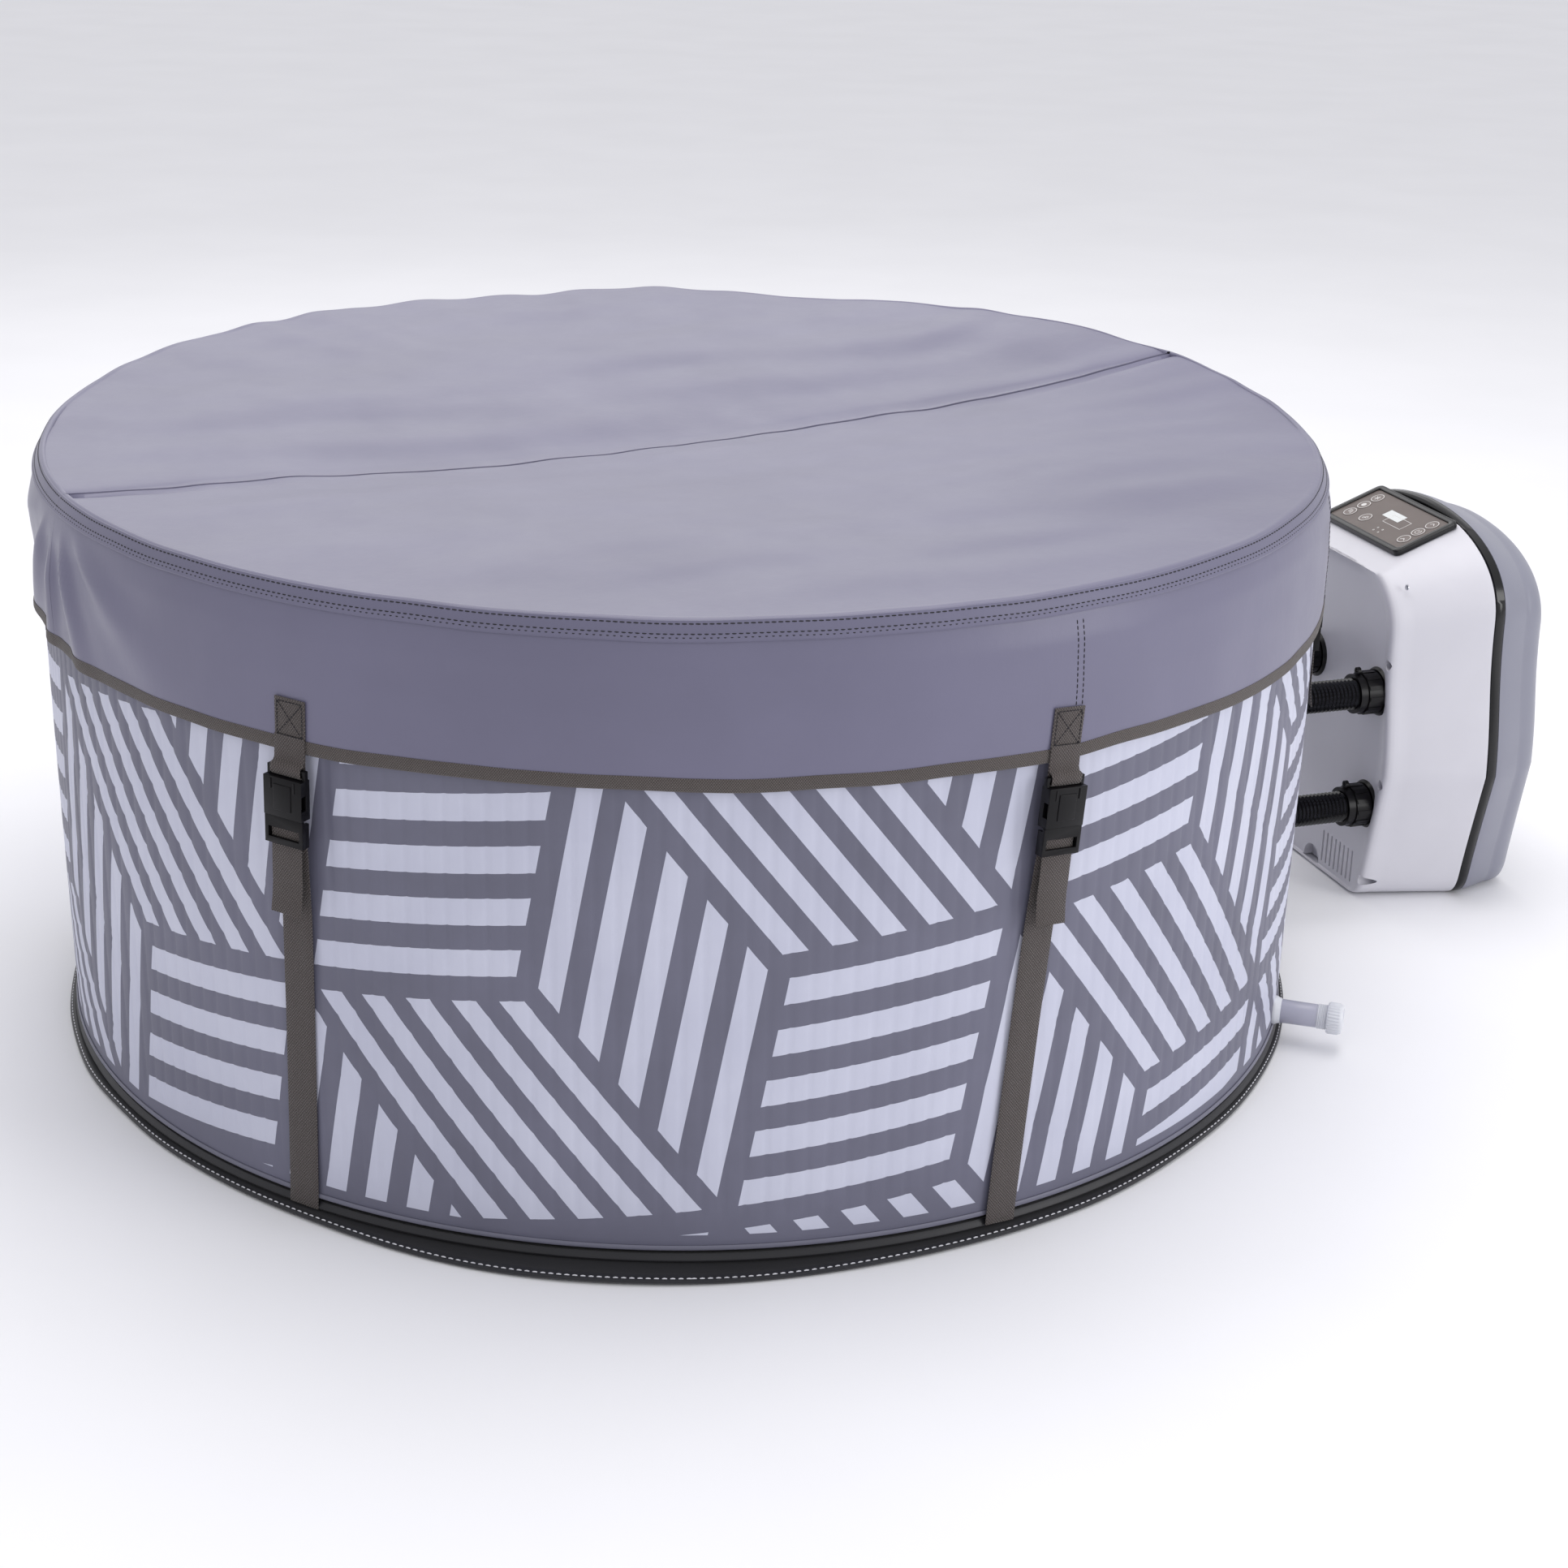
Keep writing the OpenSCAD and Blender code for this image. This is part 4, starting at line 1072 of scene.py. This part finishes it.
PORTS = [(-0.151, 0.147), (-0.151, 0.323), (0.031, 0.323)]
SCREW_SIDE = [(0.168, 0.484), (0.178, 0.372), (0.192, 0.192), (0.170, 0.032)]
SCREWS = [(s * y, z) for s in (-1, 1) for y, z in SCREW_SIDE]
SCREW_HOLE_R, PORT_HOLE_R = 0.0078, 0.0255
ALONG_X = turn_by(90, "Y")


def make_shells():
    """The two shells and the band between them, with real pockets for screws, ports and vents."""
    front = [(0.0, 0.200), (0.0, 0.120), (0.0, 0.074), (-0.0005, 0.066), (-0.002, 0.060), (-0.0045, 0.054),
             (-0.0060, 0.0485), (-0.0060, 0.0440), (-0.0042, 0.0405), (-0.0005, 0.0380), (0.005, 0.0365),
             (0.0120, 0.0352), (0.020, 0.034)]
    front += [(lerp(0.020, 0.1360, k / 14), lerp(0.034, 0.0022, k / 14)) for k in range(1, 15)]
    front += [(0.1385, 0.0018), (0.1392, 0.0030)]
    cutters = []
    shell = mesh_piece("shell_front", *tube_rings(shell_rings(front, seat=True)), M["light"], "shell_light",
                       "tub", ["front_shell"])
    for places, hole_r, depth in ((SCREWS, SCREW_HOLE_R, 0.040), (PORTS, PORT_HOLE_R, 0.060)):
        for y, z in places:
            place = PUMP @ shift_by(-0.02, y, z) @ ALONG_X
            cutters.append(turned([(hole_r, 0), (hole_r, depth)], place, 32))
    for k in range(8):
        place = PUMP @ shift_by(0, -0.132 + 0.012 * k, 0.038)
        cutters.append(rounded_box((0.020, 0.0042, 0.050), 0.0015, place))
    place = PUMP @ shift_by(-0.002, -0.018, 0.006)
    cutters.append(turned([(0.022, 0), (0.022, 0.016)], place @ ALONG_X, 32))
    cut_away(shell, cutters)
    band = [(0.1388, 0.009), (0.1394, 0.0020), (0.1408, 0.0004), (0.1530, 0.0004), (0.1544, 0.0020),
            (0.1550, 0.009)]
    mesh_piece("band", *tube_rings(shell_rings(band)), M["gloss"], "seal_rubber", "tub", ["gasket_band"], 50)
    radius, end, taper = 0.044, UNIT_DEPTH, 0.020
    rear = [(0.1546, 0.0032), (0.1552, 0.0016)]
    for k in range(1, 11):
        t = k / 10
        rear.append((lerp(0.1560, end - radius, t), lerp(0.0014, taper, t ** 1.3)))
    rear += [(end - radius + radius * sin(a), taper + radius * (1 - cos(a)))
             for a in (radians(6 * k) for k in range(1, 15))]
    rear += [(end, taper + radius + 0.02), (end, 0.150), (end, 0.200)]
    mesh_piece("shell_rear", *tube_rings(shell_rings(rear)), M["grey"], "shell_grey", "tub", ["rear_shell"])
    make_screws()


def make_screws():
    """Domed screw heads at the bottom of their pockets."""
    head = [(0.0042, 0), (0.0042, 0.0014), (0.0034, 0.0022), (0.0018, 0.0026)]
    solids = []
    for y, z in SCREWS:
        place = PUMP @ shift_by(0.0195, y, z) @ turn_by(-90, "Y")
        solids.append(turned(head, place, 24))
    mesh_piece("screws", *join_solids(solids), M["steel"], "steel", "tub", ["shell_screws"])


KEYS = [(0.10, 0.22), (0.10, 0.53), (0.10, 0.84), (0.31, 0.26), (0.92, 0.22), (0.92, 0.53), (0.92, 0.84)]


FACE_START, FACE_DEPTH, FACE_WIDTH = 0.014, 0.078, 0.186


def key_place(u, v):
    """The panel's plane at a share of its face, across from the left and back from the front."""
    return FACE_START + v * FACE_DEPTH, (0.5 - u) * FACE_WIDTH


def flat_band(centre, inner, outer, a0=0.0, a1=360.0, low=0.0013, high=0.00162):
    """A raised flat arc on the panel's plane."""
    cx, cy = centre
    steps = max(8, int(abs(a1 - a0) / 8))
    rings = []
    for k in range(steps + 1):
        a = radians(lerp(a0, a1, k / steps))
        c, s = cos(a), sin(a)
        rings.append([PANEL @ Vector((cx + r * c, cy + r * s, h))
                      for r, h in ((inner, low), (outer, low), (outer, high), (inner, high))])
    return tube_rings(rings)


def flat_bar(centre, length, width, angle, low=0.0013, high=0.00162):
    cx, cy = centre
    a = radians(angle)
    along, side = (cos(a), sin(a)), (-sin(a), cos(a))
    rings = [[PANEL @ Vector((cx + i * length / 2 * along[0] + j * width / 2 * side[0],
                              cy + i * length / 2 * along[1] + j * width / 2 * side[1], h))
              for i, j in ((-1, -1), (1, -1), (1, 1), (-1, 1))] for h in (low, high)]
    return tube_rings(rings)


def key_sign(index, centre):
    """A plain sign for one key: three bars, a dot, a star, two rings, a broken ring or an arrow."""
    x, y = centre
    if index == 0:
        places = [(x + 0.002 * sin(k), y + (k - 1) * 0.0035) for k in range(3)]
        return [flat_bar(place, 0.008, 0.0011, 12) for place in places]
    if index == 1:
        return [flat_band(centre, 0.0001, 0.0042)]
    if index == 2:
        return [flat_bar(centre, 0.011, 0.0010, a) for a in (0, 60, 120)]
    if index == 3:
        return [flat_band((x + 0.001, y - 0.002), 0.0018, 0.0028),
                flat_band((x - 0.002, y + 0.002), 0.0012, 0.0021)]
    if index == 5:
        return [flat_band(centre, 0.0044, 0.0053, 20, 340), flat_bar((x + 0.0012, y), 0.004, 0.0009, 0)]
    turn = 0 if index == 6 else 180
    tip = x + 0.0035 * cos(radians(turn))
    middle = lerp(tip, x, 0.6)
    return [flat_bar((middle, y + s * 0.0022), 0.0064, 0.0012, turn + 180 - s * 50) for s in (-1, 1)]


def make_panel():
    for k, (u, v) in enumerate(KEYS):
        centre = key_place(u, v)
        solids = [flat_band(centre, 0.0093, 0.0103)] + key_sign(k, centre)
        mesh_piece(f"key_sign_{k + 1}", *join_solids(solids), M["sign"], "button_face", f"button_{k + 1}")
    solids = []
    for row in range(2):
        for column in range(2):
            centre = (0.020 + row * 0.008, (0.5 - 0.56 - column * 0.07) * FACE_WIDTH)
            solids.append(flat_band(centre, 0.0008, 0.0016, low=0.0009, high=0.0012))
    x, y = key_place(0.62, 0.51)
    solids += [flat_bar((x + s * 0.0105, y), 0.047, 0.0008, 90, 0.0009, 0.0012) for s in (-1, 1)]
    solids += [flat_bar((x, y + s * 0.0235), 0.021, 0.0008, 0, 0.0009, 0.0012) for s in (-1, 1)]
    mesh_piece("panel_marks", *join_solids(solids), M["sign"], "button_face", "tub")
    rounded_copy("panel_bezel", "bezel", 0.0012, M["gloss"], "tub")


# ---------- drain ----------
DRAIN_AZ = 70.5
DRAIN = turn_by(DRAIN_AZ - 90, "Z") @ shift_by(WALL_R, 0, 0.043) @ ALONG_X


def make_drain():
    collar = [(0.012, -0.02), (0.0178, -0.004), (0.0192, 0.0), (0.0188, 0.004), (0.0172, 0.0065),
              (0.0165, 0.009), (0.0160, 0.010)]
    tube = [(0.0155, 0.0095), (0.0158, 0.012), (0.0156, 0.030), (0.0155, 0.056), (0.0150, 0.057)]
    thread = [(0.0150, 0.056)]
    for k in range(7):
        z = 0.0575 + 0.002 * k
        thread += [(0.0158, z), (0.0166, z + 0.0006), (0.0166, z + 0.0012), (0.0156, z + 0.0017)]
    thread.append((0.012, 0.072))
    cap = [(0.0160, 0.0700), (0.0196, 0.0702), (0.0200, 0.0712), (0.0198, 0.0725, 1), (0.0198, 0.0850, 1),
           (0.0200, 0.0864), (0.0194, 0.0885), (0.0180, 0.0900), (0.0150, 0.0904), (0.0146, 0.0896),
           (0.0010, 0.0896)]
    mesh_piece("drain_collar", *turned(collar, DRAIN), M["white"], "white_plastic", "tub", ["drain_spout"])
    mesh_piece("drain_tube", *turned(tube, DRAIN), M["lilac"], "white_plastic")
    mesh_piece("drain_thread", *turned(thread, DRAIN), M["white"], "white_plastic")
    mesh_piece("drain_screw_cap", *turned(cap, DRAIN, 240, 30, 0.0012), M["white"], "white_plastic",
               "drain_cap", ["drain_cap"])


# ---------- floor and light ----------
def make_stage():
    mesh = bpy.data.meshes.new("floor")
    corners = [(x, y, -0.0005) for x, y in ((-60, -40), (60, -40), (60, 90), (-60, 90))]
    mesh.from_pydata(corners, [], [(0, 1, 2, 3)])
    n = Nodes("floor")
    n.colour(n.ramp(n.noise(2), [(0.3, srgb(240, 240, 243)), (0.7, srgb(243, 243, 246))]))
    mesh.materials.append(n.set(Roughness=0.9))
    linked("floor", mesh)


def area_light(name, place, target, size, power, colour=(1, 1, 1)):
    data = bpy.data.lights.new(name, "AREA")
    data.shape = "RECTANGLE"
    data.size, data.size_y = size
    data.energy = power
    data.color = colour
    light = linked(name, data)
    light.location = place
    light.rotation_euler = (Vector(target) - Vector(place)).to_track_quat("-Z", "Y").to_euler()


def make_light():
    world = bpy.data.worlds.new("studio")
    bpy.context.scene.world = world
    world.use_nodes = True
    background = world.node_tree.nodes["Background"]
    background.inputs[0].default_value = (0.97, 0.97, 1.0, 1)
    background.inputs[1].default_value = 0.80
    area_light("key", (0.3, 0.6, 4.4), (0.1, 0.1, 0.5), (3.6, 3.0), 100, (1, 0.985, 0.975))
    area_light("front", (1.6, -5.2, 2.6), (0.1, 0, 0.4), (3.5, 2.2), 8)
    area_light("right", (4.4, -2.6, 1.8), (1.0, 0, 0.4), (2.2, 2.2), 62)
    area_light("rear", (-0.8, 4.4, 3.0), (0, 0, 0.7), (4.0, 1.8), 22)
    bpy.context.scene.view_settings.view_transform = "Standard"


make_wall()
make_foot()
make_pad(-1, "front", "cover_front")
make_pad(1, "rear", "cover_rear")
make_cover_half(-1, "front", "cover_front")
make_cover_half(1, "rear", "cover_rear")
make_fold_strip()
make_straps()
make_buckles()
make_shells()
make_panel()
make_drain()
make_stage()
make_light()
